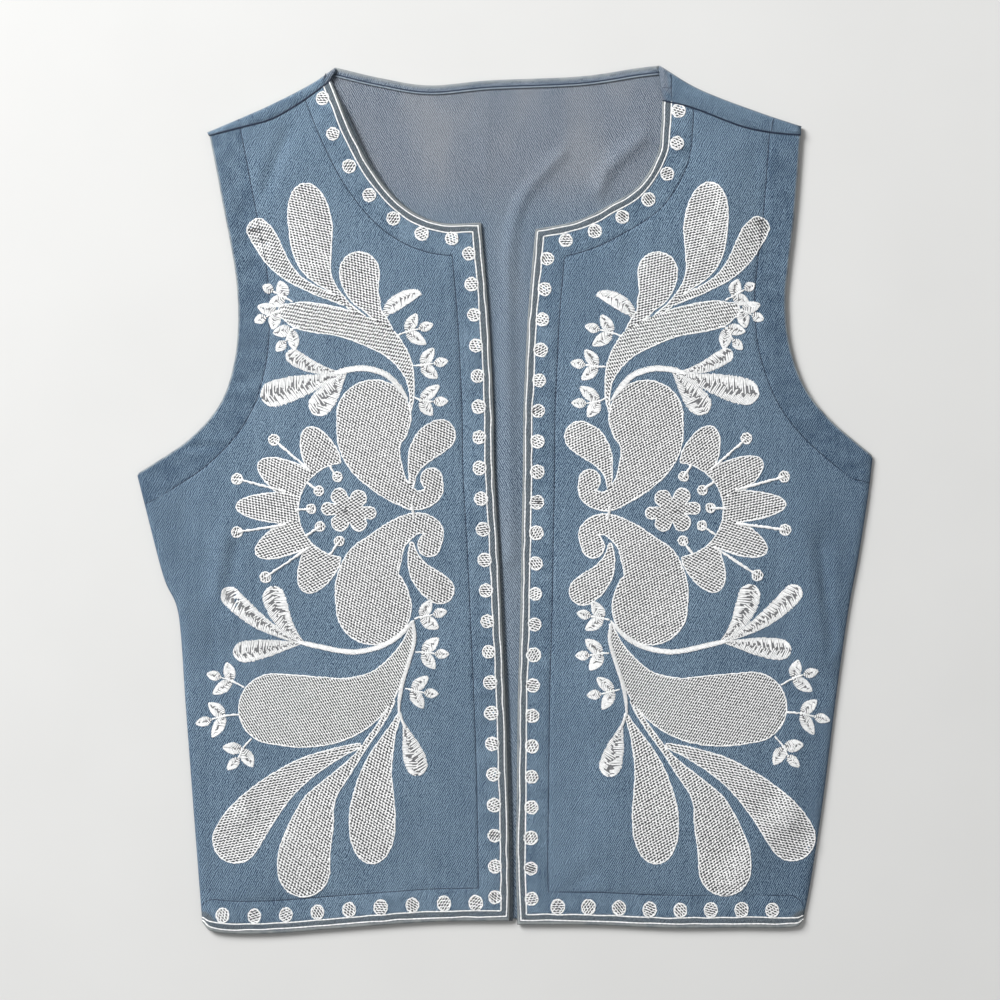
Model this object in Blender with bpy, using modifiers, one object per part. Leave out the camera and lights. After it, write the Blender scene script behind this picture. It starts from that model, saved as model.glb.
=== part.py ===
"""Embroidered denim vest, laid out flat on its back with the front side up.

Metres, +Z up: +Y points to the neck, +X to the wearer's left, and the cloth rests on z = 0.
The tables hold millimetres, measured from the middle of the vest's outline.
"""

from collections import namedtuple
import math

import bmesh
import bpy
import numpy as np

MM = 0.001

# Thicknesses and clearances
CLOTH = 1.2
FACING = 1.0
SEAM_GAP = 0.3
LAYER_GAP = 0.4

# Turned edges
BAND = 21.0
NECK_HEM = 6.0
FACING_PEEK = {"right": 2.2, "left": 0.4}
EDGE_INSET = 0.8
STRIP_END = 7.0
ARMPIT_END = 22.0

# Height of the middle of each layer of cloth
BACK_LEVEL = CLOTH / 2
FACING_LEVEL = CLOTH + LAYER_GAP + FACING / 2
FRONT_LEVEL = CLOTH + LAYER_GAP + FACING + SEAM_GAP + CLOTH / 2
NECK_HEM_LEVEL = CLOTH + SEAM_GAP + FACING / 2
FOLD_RADIUS = (FRONT_LEVEL - BACK_LEVEL) / 2

# How the fronts lie: soft in the middle, rolled down to the back along the side seams
LOFT = 2.4
LOFT_REACH = 45.0
SIDE_ROLL = 6.0
SIDE_DROP = 1.3

# Mesh density
ROW_STEPS = 2
FINE_STEPS = 8
FRONT_COLUMNS = (0, 0.015, 0.035, 0.1, 0.2, 0.3, 0.4, 0.5, 0.6, 0.7, 0.8, 0.9, 0.96, 1)
SHOULDER_COLUMNS = 6
NECK_COLUMNS = 33
TURN_STEPS = 6
FACING_ROWS = {"neck": 14, "opening": 18}
ARMHOLE_ROWS = 16
HEM_ROWS = 12
NECK_HEM_ROWS = 20
STRIP_COLUMNS = (0, 0.5, 1)

# Colours of the two faces of the denim, linear
DENIM_FACE = (0.136, 0.209, 0.290)
DENIM_REVERSE = (0.235, 0.275, 0.325)
DENIM_ROUGHNESS = 0.9

# Sections of a front from the hem up: its outer end is on the side or the armhole,
# its inner end on the front opening or the neckline
Section = namedtuple("Section", "name outer_x outer_y inner_x inner_y")
Point = namedtuple("Point", "x y")
Fold = namedtuple("Fold", "name x0 y0 x1 y1 reach height")

SECTIONS = {
    "right": (
        Section("hem", -202.0, -282.0, 3.0, -281.0),
        Section("low_hip", -204.5, -250.0, 3.1, -250.0),
        Section("hip", -208.5, -198.0, 2.2, -195.0),
        Section("waist", -213.3, -134.0, 0.3, -133.0),
        Section("low_rib", -216.3, -90.0, -1.6, -90.0),
        Section("pucker", -219.5, -70.0, -2.9, -60.0),
        Section("rib", -228.0, -51.0, -4.3, -30.0),
        Section("underarm", -240.5, -3.0, -7.0, 18.0),
        Section("armpit", -245.5, 17.0, -7.6, 57.0),
        Section("armhole_low", -211.3, 39.7, -9.1, 92.5),
        Section("armhole_turn", -190.0, 64.0, -11.2, 128.3),
        Section("neck_corner", -180.5, 92.0, -16.0, 184.6),
        Section("neck_low", -177.9, 122.0, -44.0, 184.6),
        Section("neck_turn", -179.5, 149.0, -68.0, 196.1),
        Section("neck_side", -183.5, 173.0, -88.2, 219.5),
        Section("neck_high", -188.0, 196.0, -102.7, 247.0),
        Section("neck_top", -192.5, 220.0, -109.7, 264.0),
        Section("shoulder", -197.0, 242.7, -116.0, 279.7),
    ),
    "left": (
        Section("hem", 199.0, -281.0, 8.7, -283.5),
        Section("low_hip", 204.5, -252.0, 7.5, -245.0),
        Section("hip", 212.5, -199.0, 8.0, -195.0),
        Section("waist", 220.7, -134.0, 8.7, -133.0),
        Section("low_rib", 226.5, -92.0, 10.0, -88.0),
        Section("pucker", 231.0, -64.0, 10.7, -55.0),
        Section("rib", 236.0, -38.0, 11.2, -25.0),
        Section("underarm", 242.3, 2.0, 12.0, 20.0),
        Section("armpit", 245.5, 29.0, 12.3, 57.0),
        Section("armhole_low", 217.3, 53.0, 13.8, 92.5),
        Section("armhole_turn", 200.0, 75.0, 15.7, 128.3),
        Section("neck_corner", 190.0, 103.0, 20.3, 180.3),
        Section("neck_low", 187.3, 131.0, 47.3, 185.7),
        Section("neck_turn", 188.8, 152.0, 69.7, 196.4),
        Section("neck_side", 191.6, 175.0, 89.5, 209.6),
        Section("neck_high", 194.0, 199.0, 101.4, 229.5),
        Section("neck_top", 195.7, 221.0, 104.1, 248.0),
        Section("shoulder", 197.3, 243.0, 105.0, 266.0),
    ),
}
SECTION_NAMES = [row.name for row in SECTIONS["right"]]
ARMPIT = SECTION_NAMES.index("armpit")
NECK_CORNER = SECTION_NAMES.index("neck_corner")

# Hem and shoulder seam of each front, from the side inwards
HEM = {
    "right": (
        Point(-202.0, -282.0),
        Point(-193.0, -288.6),
        Point(-160.0, -289.6),
        Point(-110.0, -286.0),
        Point(-50.0, -281.7),
        Point(3.0, -281.0),
    ),
    "left": (
        Point(199.0, -281.0),
        Point(191.0, -285.4),
        Point(155.0, -285.5),
        Point(110.0, -285.8),
        Point(60.0, -283.8),
        Point(8.7, -283.5),
    ),
}
SEAM = {
    "right": (
        Point(-197.0, 242.7),
        Point(-177.6, 247.7),
        Point(-155.0, 254.0),
        Point(-133.0, 267.0),
        Point(-116.0, 279.7),
    ),
    "left": (
        Point(197.3, 243.0),
        Point(178.0, 244.7),
        Point(156.5, 249.2),
        Point(126.0, 260.8),
        Point(105.0, 266.0),
    ),
}

# Outline of the back: where it turns over each shoulder, and its neckline and hem
SHOULDER_FOLD = {
    "right": (
        Point(-198.7, 245.0),
        Point(-160.0, 261.7),
        Point(-130.0, 277.0),
        Point(-113.3, 288.3),
    ),
    "left": (
        Point(198.0, 249.0),
        Point(170.0, 258.3),
        Point(130.0, 273.7),
        Point(103.3, 289.6),
    ),
}
BACK_NECKLINE = (
    Point(-113.3, 288.3),
    Point(-82.0, 281.0),
    Point(-50.0, 276.3),
    Point(-10.0, 279.7),
    Point(50.0, 282.3),
    Point(88.0, 287.8),
    Point(103.3, 289.6),
)
BACK_HEM = (
    Point(-200.5, -280.5),
    Point(-160.0, -287.5),
    Point(-110.0, -284.5),
    Point(-50.0, -280.2),
    Point(6.0, -279.8),
    Point(60.0, -282.0),
    Point(155.0, -283.8),
    Point(197.5, -279.8),
)

# Soft ridges along straight lines, one row for each
FRONT_FOLDS = {
    "right": (
        Fold("side_pucker", -216.0, -66.0, -165.0, -92.0, 13.0, 1.8),
        Fold("below_flower", -184.0, -28.0, -178.0, -72.0, 12.0, 1.4),
        Fold("chest", -160.0, 215.0, -128.0, 158.0, 15.0, 1.5),
        Fold("low_front", -70.0, -215.0, -62.0, -120.0, 16.0, 1.2),
    ),
    "left": (
        Fold("side", 200.0, -15.0, 209.0, -105.0, 13.0, 1.8),
        Fold("chest", 142.0, 222.0, 152.0, 140.0, 15.0, 1.5),
        Fold("low_front", 72.0, -220.0, 60.0, -130.0, 16.0, 1.2),
        Fold("hip", 150.0, -250.0, 182.0, -205.0, 13.0, 1.2),
    ),
}
BACK_FOLDS = (
    Fold("centre", -12.0, 258.0, -13.0, 214.0, 9.0, 1.0),
    Fold("neck_middle", 38.0, 234.0, 14.0, 204.0, 8.0, 1.9),
    Fold("neck_left_side", 88.0, 242.0, 66.0, 212.0, 7.0, 2.3),
)


# Curves in the plane
def smooth_line(points, steps, corners=()):
    """Curve through points, with a sharp bend at each index in corners."""
    points = np.array(points, float)
    stops = [0, *corners, len(points) - 1]
    line = [points[0]]
    for first, last in zip(stops, stops[1:]):
        run = points[first : last + 1]
        tangents = np.gradient(run, axis=0)
        for i in range(len(run) - 1):
            for t in np.arange(1, steps + 1) / steps:
                start = (1 + 2 * t) * (1 - t) ** 2 * run[i] + t * (1 - t) ** 2 * tangents[i]
                end = t * t * (3 - 2 * t) * run[i + 1] - t * t * (1 - t) * tangents[i + 1]
                line.append(start + end)
    return np.array(line)


def lengths_along(line):
    return np.concatenate([[0], np.cumsum(np.linalg.norm(np.diff(line, axis=0), axis=1))])


def at_fractions(line, fractions):
    """Points at these fractions of a line's length."""
    along = lengths_along(line)
    wanted = np.asarray(fractions) * along[-1]
    return np.stack([np.interp(wanted, along, line[:, k]) for k in range(2)], axis=1)


def evenly(line, count):
    return at_fractions(line, np.linspace(0, 1, count))


def trimmed(line, start, end):
    """The line without its first start and last end millimetres."""
    total = lengths_along(line)[-1]
    return at_fractions(line, np.linspace(start / total, 1 - end / total, len(line)))


def moved_to(line, distance, target):
    """The line moved sideways by distance, towards the side that target lies on."""
    along = np.gradient(line, axis=0)
    along /= np.linalg.norm(along, axis=1)[:, None]
    sideways = np.stack([-along[:, 1], along[:, 0]], axis=1)
    middle = len(line) // 2
    if np.dot(sideways[middle], np.asarray(target) - line[middle]) < 0:
        sideways = -sideways
    return line + np.asarray(distance).reshape(-1, 1) * sideways


def distance_to(points, line):
    """Distance of each point to the nearest place on a line."""
    flat = points.reshape(-1, 1, 2)
    start, span = line[:-1][None], np.diff(line, axis=0)[None]
    share = ((flat - start) * span).sum(2) / (span * span).sum(2)
    nearest = start + np.clip(share, 0, 1)[..., None] * span
    return np.linalg.norm(flat - nearest, axis=2).min(1).reshape(points.shape[:-1])


def ridge_height(points, folds):
    """Height that soft ridges add at each point."""
    total = np.zeros(points.shape[:-1])
    for fold in folds:
        crest = np.array([(fold.x0, fold.y0), (fold.x1, fold.y1)])
        total += fold.height * np.exp(-((distance_to(points, crest) / fold.reach) ** 2))
    return total


def patch(bottom, top, left, right, across):
    """Grid of points that fills four edges; across holds each column's share of the width."""
    up = np.linspace(0, 1, len(left))[:, None, None]
    u = np.asarray(across)[None, :, None]
    between_ends = (1 - up) * bottom[None] + up * top[None]
    between_sides = (1 - u) * left[:, None] + u * right[:, None]
    corners = (1 - up) * ((1 - u) * bottom[0] + u * bottom[-1]) + up * ((1 - u) * top[0] + u * top[-1])
    return between_ends + between_sides - corners


# Edges of the pieces
def outer_edge(side, steps):
    rows = [(row.outer_x, row.outer_y) for row in SECTIONS[side]]
    return smooth_line(rows, steps, [ARMPIT])


def inner_edge(side, steps):
    rows = [(row.inner_x, row.inner_y) for row in SECTIONS[side]]
    return smooth_line(rows, steps, [NECK_CORNER])


def centre_of(side):
    ends = [((row.outer_x, row.outer_y), (row.inner_x, row.inner_y)) for row in SECTIONS[side]]
    return np.array(ends).mean(axis=(0, 1))


def cut_where_met(first, second):
    """First up to, and second from, the place where the two lines come closest."""
    gaps = np.linalg.norm(first[:, None] - second[None], axis=2)
    i, j = np.unravel_index(gaps.argmin(), gaps.shape)
    meeting = (first[i] + second[j]) / 2
    return np.vstack([first[:i], meeting]), np.vstack([meeting, second[j + 1 :]])


# Solids
def denim(name, colour):
    material = bpy.data.materials.new(name)
    material.use_nodes = True
    shader = material.node_tree.nodes["Principled BSDF"]
    shader.inputs["Base Color"].default_value = (*colour, 1)
    shader.inputs["Roughness"].default_value = DENIM_ROUGHNESS
    shader.inputs["Metallic"].default_value = 0
    return material


def wall(name, grids, thickness, material, collection):
    """A closed wall of cloth around one or more grids of points, which share their edge points."""
    mesh = bmesh.new()
    for grid in grids:
        rows, columns = grid.shape[:2]
        verts = [[mesh.verts.new(point * MM) for point in row] for row in grid]
        for i in range(rows - 1):
            for j in range(columns - 1):
                mesh.faces.new((verts[i][j], verts[i][j + 1], verts[i + 1][j + 1], verts[i + 1][j]))
    bmesh.ops.remove_doubles(mesh, verts=mesh.verts, dist=0.01 * MM)
    bmesh.ops.recalc_face_normals(mesh, faces=mesh.faces)
    data = bpy.data.meshes.new(name)
    mesh.to_mesh(data)
    mesh.free()
    data.shade_smooth()
    data.set_sharp_from_angle(angle=math.radians(40))
    data.materials.append(material)
    piece = bpy.data.objects.new(name, data)
    collection.objects.link(piece)
    solid = piece.modifiers.new("thickness", "SOLIDIFY")
    solid.thickness = thickness * MM
    solid.offset = 0
    return piece


def with_height(points, height):
    return np.concatenate([points, np.broadcast_to(height, points.shape[:-1])[..., None]], axis=-1)


def strip(outer, inner, level):
    """Grid between two lines with the same number of points, lying level."""
    shares = np.array(STRIP_COLUMNS)[None, :, None]
    return with_height((1 - shares) * outer[:, None] + shares * inner[:, None], level)


def front_points(side):
    """Grid of a front panel, from the side to the opening and from the hem up to the shoulder seam."""
    outer, inner = outer_edge(side, ROW_STEPS), inner_edge(side, ROW_STEPS)
    hem = at_fractions(smooth_line(HEM[side], FINE_STEPS), FRONT_COLUMNS)
    seam = at_fractions(smooth_line(SEAM[side], FINE_STEPS), FRONT_COLUMNS)
    points = patch(hem, seam, outer, inner, FRONT_COLUMNS)
    edges = np.vstack([hem[:-1], inner[:-1], seam[:0:-1], outer[::-1]])
    rise = LOFT * (1 - np.exp(-((distance_to(points, edges) / LOFT_REACH) ** 2)))
    near_side = np.clip(1 - distance_to(points, outer[: ARMPIT * ROW_STEPS + 1]) / SIDE_ROLL, 0, 1)
    height = FRONT_LEVEL + rise + ridge_height(points, FRONT_FOLDS[side]) * (1 - near_side)
    return with_height(points, height - SIDE_DROP * near_side**2)


def shoulder_turn(side):
    """Rows of the back that turn over a shoulder and come forward to the seam, from the tip to the neck."""
    fold = evenly(smooth_line(SHOULDER_FOLD[side], FINE_STEPS), SHOULDER_COLUMNS)
    seam = evenly(smooth_line(SEAM[side], FINE_STEPS), SHOULDER_COLUMNS)
    run = fold[-1] - fold[0]
    outwards = np.array([-run[1], run[0]]) / np.linalg.norm(run)
    if outwards[1] < 0:
        outwards = -outwards
    crease = fold - outwards * (FOLD_RADIUS + CLOTH / 2)
    rows = []
    for angle in np.linspace(0, math.pi, TURN_STEPS + 1):
        height = BACK_LEVEL + FOLD_RADIUS * (1 - math.cos(angle))
        rows.append(with_height(crease + outwards * FOLD_RADIUS * math.sin(angle), height))
    rows.append(with_height(seam + outwards * SEAM_GAP, FRONT_LEVEL))
    return np.array(rows)


def back_grids():
    """Grids of the back: its flat part, and the two shoulders that turn forward."""
    turns = {side: shoulder_turn(side) for side in SECTIONS}
    creases = {side: turn[0, :, :2] for side, turn in turns.items()}
    neck = evenly(smooth_line(BACK_NECKLINE, FINE_STEPS), NECK_COLUMNS)[1:-1]
    top = np.vstack([creases["right"], neck, creases["left"][::-1]])
    across = (top[:, 0] - top[0, 0]) / (top[-1, 0] - top[0, 0])
    bottom = at_fractions(smooth_line(BACK_HEM, FINE_STEPS), across)
    sides = {}
    for side in SECTIONS:
        edge = moved_to(outer_edge(side, ROW_STEPS), EDGE_INSET, centre_of(side))
        edge[0] = bottom[0] if side == "right" else bottom[-1]
        edge[-1] = creases[side][0]
        sides[side] = edge
    points = patch(bottom, top, sides["right"], sides["left"], across)
    flat = with_height(points, BACK_LEVEL + ridge_height(points, BACK_FOLDS))
    flat[-1, :, 2] = BACK_LEVEL
    return [flat, turns["right"], turns["left"][:, ::-1]]


def facing_grid(side):
    """Strip under the neckline and the front opening, from the shoulder seam to the hem."""
    edge = inner_edge(side, FINE_STEPS)[::-1]
    corner = len(edge) - 1 - NECK_CORNER * FINE_STEPS
    neck, opening = trimmed(edge[: corner + 1], STRIP_END, 0), edge[corner:]
    neck_inside, opening_inside = cut_where_met(
        moved_to(neck, BAND, centre_of(side)), moved_to(opening, BAND, centre_of(side))
    )
    peek = np.linspace(0, -FACING_PEEK[side], len(opening))
    opening = moved_to(opening, peek, centre_of(side))
    outer = np.vstack([evenly(neck, FACING_ROWS["neck"]), evenly(opening, FACING_ROWS["opening"])[1:]])
    inner = np.vstack(
        [evenly(neck_inside, FACING_ROWS["neck"]), evenly(opening_inside, FACING_ROWS["opening"])[1:]]
    )
    return strip(outer, inner, FACING_LEVEL)


def armhole_grid(side):
    """Strip under the armhole, from just above the side seam to just below the shoulder seam."""
    armhole = trimmed(outer_edge(side, FINE_STEPS)[ARMPIT * FINE_STEPS :], ARMPIT_END, STRIP_END)
    inside = moved_to(armhole, BAND, centre_of(side))
    return strip(evenly(armhole, ARMHOLE_ROWS), evenly(inside, ARMHOLE_ROWS), FACING_LEVEL)


def hem_grid(side):
    """Strip turned up under the hem, from the side seam to the facing of the opening."""
    hem = trimmed(smooth_line(HEM[side], FINE_STEPS), STRIP_END, BAND + SEAM_GAP)
    inside = moved_to(hem, BAND, centre_of(side))
    return strip(evenly(hem, HEM_ROWS), evenly(inside, HEM_ROWS), FACING_LEVEL)


def neck_hem_grid():
    """Narrow strip turned to the inside along the back neckline."""
    edge = trimmed(smooth_line(BACK_NECKLINE, FINE_STEPS), FOLD_RADIUS + CLOTH, FOLD_RADIUS + CLOTH)
    inside = moved_to(edge, NECK_HEM, (0, 0))
    return strip(evenly(edge, NECK_HEM_ROWS), evenly(inside, NECK_HEM_ROWS), NECK_HEM_LEVEL)


def main():
    for old in list(bpy.data.objects):
        bpy.data.objects.remove(old)
    vest = bpy.data.collections.new("embroidered_denim_vest")
    bpy.context.scene.collection.children.link(vest)
    face, reverse = denim("denim_face", DENIM_FACE), denim("denim_reverse", DENIM_REVERSE)
    wall("back", back_grids(), CLOTH, reverse, vest)
    wall("neck_hem", [neck_hem_grid()], FACING, reverse, vest)
    for side in SECTIONS:
        wall(f"front_{side}", [front_points(side)], CLOTH, face, vest)
        wall(f"facing_{side}", [facing_grid(side)], FACING, reverse, vest)
        wall(f"armhole_facing_{side}", [armhole_grid(side)], FACING, reverse, vest)
        wall(f"hem_{side}", [hem_grid(side)], FACING, reverse, vest)


main()
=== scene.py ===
"""Looks of the embroidered denim vest: cloth shells, sewing, materials, floor, light and camera.

Tables and lengths are in millimetres unless a name says otherwise, in the part's own frame.
"""

from collections import namedtuple
import math

import bpy
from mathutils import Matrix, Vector, geometry
import numpy as np


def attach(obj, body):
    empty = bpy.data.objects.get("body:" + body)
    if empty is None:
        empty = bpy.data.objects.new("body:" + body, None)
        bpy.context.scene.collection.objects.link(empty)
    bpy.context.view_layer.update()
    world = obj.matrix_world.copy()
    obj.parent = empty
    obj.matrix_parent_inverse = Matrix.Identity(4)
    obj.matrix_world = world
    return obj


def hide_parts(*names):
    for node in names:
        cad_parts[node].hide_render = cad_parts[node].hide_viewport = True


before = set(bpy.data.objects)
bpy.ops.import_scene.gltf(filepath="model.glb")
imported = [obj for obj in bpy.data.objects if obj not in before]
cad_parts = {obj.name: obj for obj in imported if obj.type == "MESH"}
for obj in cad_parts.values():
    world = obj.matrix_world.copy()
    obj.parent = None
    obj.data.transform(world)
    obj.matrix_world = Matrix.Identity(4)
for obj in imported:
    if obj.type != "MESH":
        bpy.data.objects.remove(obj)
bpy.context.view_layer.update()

MM = 0.001
PER_MM = 1000.0
TINY = 1e-9

# Thicknesses and levels, as in the solids
CLOTH = 1.2
FACING = 1.0
SEAM_GAP = 0.3
LAYER_GAP = 0.4
BACK_LEVEL = CLOTH / 2
FACING_LEVEL = CLOTH + LAYER_GAP + FACING / 2
FRONT_LEVEL = CLOTH + LAYER_GAP + FACING + SEAM_GAP + CLOTH / 2
NECK_HEM_LEVEL = CLOTH + SEAM_GAP + FACING / 2
FOLD_RADIUS = (FRONT_LEVEL - BACK_LEVEL) / 2

# Turned edges
BAND = 21.0
NECK_HEM = 6.0
NECK_HEM_END = 0.4
FACING_PEEK = {"right": 2.2, "left": 0.4}
NECK_PEEK = {"right": 2.2, "left": 0.0}
NECK_PEEK_SHARES = ((0, 0.15, 0.8, 1), (0, 1, 0.25, 0))
NECK_STAND = {"right": 2.6, "left": 0.8}
NECK_HEM_SLOPE = 0.09
EDGE_INSET = 0.8
STRIP_END = 7.0
ARMPIT_END = 22.0
WHITE_LINES = (1.8, 5.9)
HEM_EXTRA = 1.1
NECK_LINES = {"dark": 4.4, "pale": 5.5}
SHOULDER_STRIP = 7.0
TAB = 6.5
TAB_SQUEEZE = (1, 0.2)
SEAM_PUFF = 0.4
SEAM_TUCK = 0.3

# Tones of the pieces: shares of the cloth's other side (painted shade in the gap between the fronts), darker
# tone, wear, and distances past the bands
GAP_SHADE = 0.55
GAP_TOP = (185.0, 215.0)
NECK_BLEND = 0.7
# Darker tone over the whole left front, towards each side seam, and on the shoulder strips
DARKER_PANEL = {"right": 0.0, "left": 0.06}
DARKER_SIDE = 0.11
DARKER_REACH = 60.0
NECK_WEAR = 0.55
SEAM_WEAR = 0.7
SHOULDER_DARKER = 0.08
MOTTLED = 12.0
FAR = 100.0

# Lie of the fronts
LOFT = 2.4
LOFT_REACH = 45.0
SIDE_ROLL = 6.0
SIDE_DROP = 1.3

# Density of the shells
FINE_STEPS = 10
FOLD_STEPS = 4
DENSE = (0, 0.5, 1.2, 2.0, 2.8, 3.8, 4.9, 5.7, 6.5, 8, 11, 14, 17, 19, 20.2, 21, 21.8, 23, 25.5)
SEAM_DENSE = DENSE[:6]
ROW_SPACING = 3.0
MIDDLE_COLUMNS = 52
ROW_SAMPLES = 300
BACK_COLUMNS = {"shoulder": 24, "neck": 90}
BACK_ROW_SPACING = 4.0
TURN_STEPS = 10
SHOULDER_SHARES = (0.3, 0.6, 0.8, 0.93, 1)
STRIP_COLUMNS = np.linspace(0, 1, 6)
STRIP_SPACING = 3.0
RELIEF_STEP = 1.25
RELIEF_END = 1.001
WELD = 0.01

# Sections of a front from the hem up: outer end on the side or armhole, inner end on opening or neckline
Section = namedtuple("Section", "name outer_x outer_y inner_x inner_y")
Fold = namedtuple("Fold", "line reach height")

SECTIONS = {
    "right": (
        Section("hem", -202.0, -282.0, 3.0, -281.0),
        Section("low_hip", -204.5, -250.0, 3.1, -250.0),
        Section("hip", -208.5, -198.0, 2.2, -195.0),
        Section("waist", -213.3, -134.0, 0.3, -133.0),
        Section("low_rib", -216.3, -90.0, -1.6, -90.0),
        Section("pucker", -219.5, -70.0, -2.9, -60.0),
        Section("rib", -228.0, -51.0, -4.3, -30.0),
        Section("underarm", -240.5, -3.0, -7.0, 18.0),
        Section("armpit", -245.5, 17.0, -7.6, 57.0),
        Section("armhole_low", -211.3, 39.7, -9.1, 92.5),
        Section("armhole_turn", -190.0, 64.0, -11.2, 128.3),
        Section("neck_corner", -180.5, 92.0, -16.0, 184.6),
        Section("neck_low", -177.9, 122.0, -44.0, 184.6),
        Section("neck_turn", -179.5, 149.0, -68.0, 196.1),
        Section("neck_side", -183.5, 173.0, -88.2, 219.5),
        Section("neck_high", -188.0, 196.0, -102.7, 247.0),
        Section("neck_top", -192.5, 220.0, -109.7, 264.0),
        Section("shoulder", -197.0, 242.7, -116.0, 279.7),
    ),
    "left": (
        Section("hem", 199.0, -281.0, 8.7, -283.5),
        Section("low_hip", 204.5, -252.0, 7.5, -245.0),
        Section("hip", 212.5, -199.0, 8.0, -195.0),
        Section("waist", 220.7, -134.0, 8.7, -133.0),
        Section("low_rib", 226.5, -92.0, 10.0, -88.0),
        Section("pucker", 231.0, -64.0, 10.7, -55.0),
        Section("rib", 236.0, -38.0, 11.2, -25.0),
        Section("underarm", 242.3, 2.0, 12.0, 20.0),
        Section("armpit", 245.5, 29.0, 12.3, 57.0),
        Section("armhole_low", 217.3, 53.0, 13.8, 92.5),
        Section("armhole_turn", 200.0, 75.0, 15.7, 128.3),
        Section("neck_corner", 190.0, 103.0, 20.3, 180.3),
        Section("neck_low", 187.3, 131.0, 47.3, 185.7),
        Section("neck_turn", 188.8, 152.0, 69.7, 196.4),
        Section("neck_side", 191.6, 175.0, 89.5, 209.6),
        Section("neck_high", 194.0, 199.0, 101.4, 229.5),
        Section("neck_top", 195.7, 221.0, 104.1, 248.0),
        Section("shoulder", 197.3, 243.0, 105.0, 266.0),
    ),
}
SECTION_NAMES = [row.name for row in SECTIONS["right"]]
ARMPIT = SECTION_NAMES.index("armpit")
NECK_CORNER = SECTION_NAMES.index("neck_corner")

# Hem and shoulder seam of each front as (x, y), from the side inwards
HEM = {
    "right": (
        (-202.0, -282.0), (-193.0, -288.6), (-160.0, -289.6), (-110.0, -286.0), (-50.0, -281.7),
        (3.0, -281.0),
    ),
    "left": (
        (199.0, -281.0), (191.0, -285.4), (155.0, -285.5), (110.0, -285.8), (60.0, -283.8), (8.7, -283.5),
    ),
}
SEAM = {
    "right": (
        (-197.0, 242.7), (-177.6, 247.7), (-155.0, 254.0), (-133.0, 267.0), (-116.0, 279.7),
    ),
    "left": (
        (197.3, 243.0), (178.0, 244.7), (156.5, 249.2), (126.0, 260.8), (105.0, 266.0),
    ),
}

# Outline of the back as (x, y)
SHOULDER_FOLD = {
    "right": (
        (-198.7, 245.0), (-160.0, 261.7), (-130.0, 277.0), (-113.3, 288.3),
    ),
    "left": (
        (198.0, 249.0), (170.0, 258.3), (130.0, 273.7), (103.3, 289.6),
    ),
}
BACK_NECKLINE = (
    (-113.3, 288.3), (-82.0, 281.0), (-50.0, 276.3), (-10.0, 279.7), (50.0, 282.3), (88.0, 287.8),
    (103.3, 289.6),
)
BACK_HEM = (
    (-200.5, -280.5), (-160.0, -287.5), (-110.0, -284.5), (-50.0, -280.2), (6.0, -279.8), (60.0, -282.0),
    (155.0, -283.8), (197.5, -279.8),
)

# Soft ridges, and troughs with a height below zero
FRONT_FOLDS = {
    "right": (
        Fold(((-216.0, -66.0), (-165.0, -92.0)), 13.0, 1.8),
        Fold(((-184.0, -28.0), (-178.0, -72.0)), 12.0, 1.4),
        Fold(((-160.0, 215.0), (-128.0, 158.0)), 15.0, 1.5),
        Fold(((-70.0, -215.0), (-62.0, -120.0)), 16.0, 1.2),
        Fold(((-187.0, -18.0), (-190.0, -42.0), (-193.0, -66.0)), 5.0, 1.3),
        Fold(((-179.5, -33.0), (-182.0, -48.0), (-184.5, -64.0)), 4.0, -1.8),
        Fold(((-196.0, -74.0), (-194.0, -104.0)), 6.0, -0.8),
        Fold(((-145.0, 243.0), (-152.0, 227.0), (-159.0, 206.0)), 5.0, -1.6),
        Fold(((-176.0, 222.0), (-168.0, 150.0)), 7.0, -0.8),
        Fold(((-213.0, 4.0), (-212.0, -14.0)), 7.0, -1.0),
        Fold(((-194.0, -120.0), (-178.0, -205.0)), 9.0, 1.0),
        Fold(((-45.0, -246.0), (-36.0, -254.0)), 5.0, -1.0),
        Fold(((-30.0, 120.0), (-26.0, 30.0)), 6.0, -0.6),
    ),
    "left": (
        Fold(((200.0, -15.0), (209.0, -105.0)), 13.0, 1.8),
        Fold(((142.0, 222.0), (152.0, 140.0)), 15.0, 1.5),
        Fold(((72.0, -220.0), (60.0, -130.0)), 16.0, 1.2),
        Fold(((150.0, -250.0), (182.0, -205.0)), 13.0, 1.2),
        Fold(((209.0, -30.0), (214.0, -62.0), (218.0, -98.0)), 4.0, -1.5),
        Fold(((122.0, 232.0), (138.0, 214.0)), 3.5, -1.6),
        Fold(((222.0, -26.0), (219.0, -74.0)), 4.0, 0.8),
        Fold(((85.0, 172.0), (84.0, 160.0)), 6.0, -0.9),
        Fold(((166.0, 228.0), (176.0, 160.0)), 7.0, -0.7),
        Fold(((196.0, -140.0), (188.0, -210.0)), 9.0, 0.8),
        Fold(((48.0, -255.0), (58.0, -248.0)), 5.0, -0.8),
        Fold(((40.0, 110.0), (36.0, 20.0)), 6.0, -0.5),
    ),
}
BACK_FOLDS = (
    Fold(((-12.0, 262.0), (-13.0, 212.0)), 4.0, 0.5),
    Fold(
        ((38.0, 231.0), (19.0, 211.0), (8.0, 193.0), (2.5, 160.0), (2.0, 100.0), (3.0, 20.0), (4.0, -40.0)),
        4.0,
        1.7,
    ),
    Fold(((90.0, 240.0), (78.0, 230.0), (67.5, 219.0), (63.0, 207.0)), 5.0, 2.3),
)

# Ripples across the bands along hem, opening and armhole
Ripple = namedtuple("Ripple", "squeeze size height")
RIPPLES = (Ripple((1.0, 0.3), 11.0, 0.7), Ripple((1.0, 1.0), 8.0, 0.35), Ripple((0.3, 1.0), 4.4, 0.5))
RIPPLE_FADE = 6.0


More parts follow.
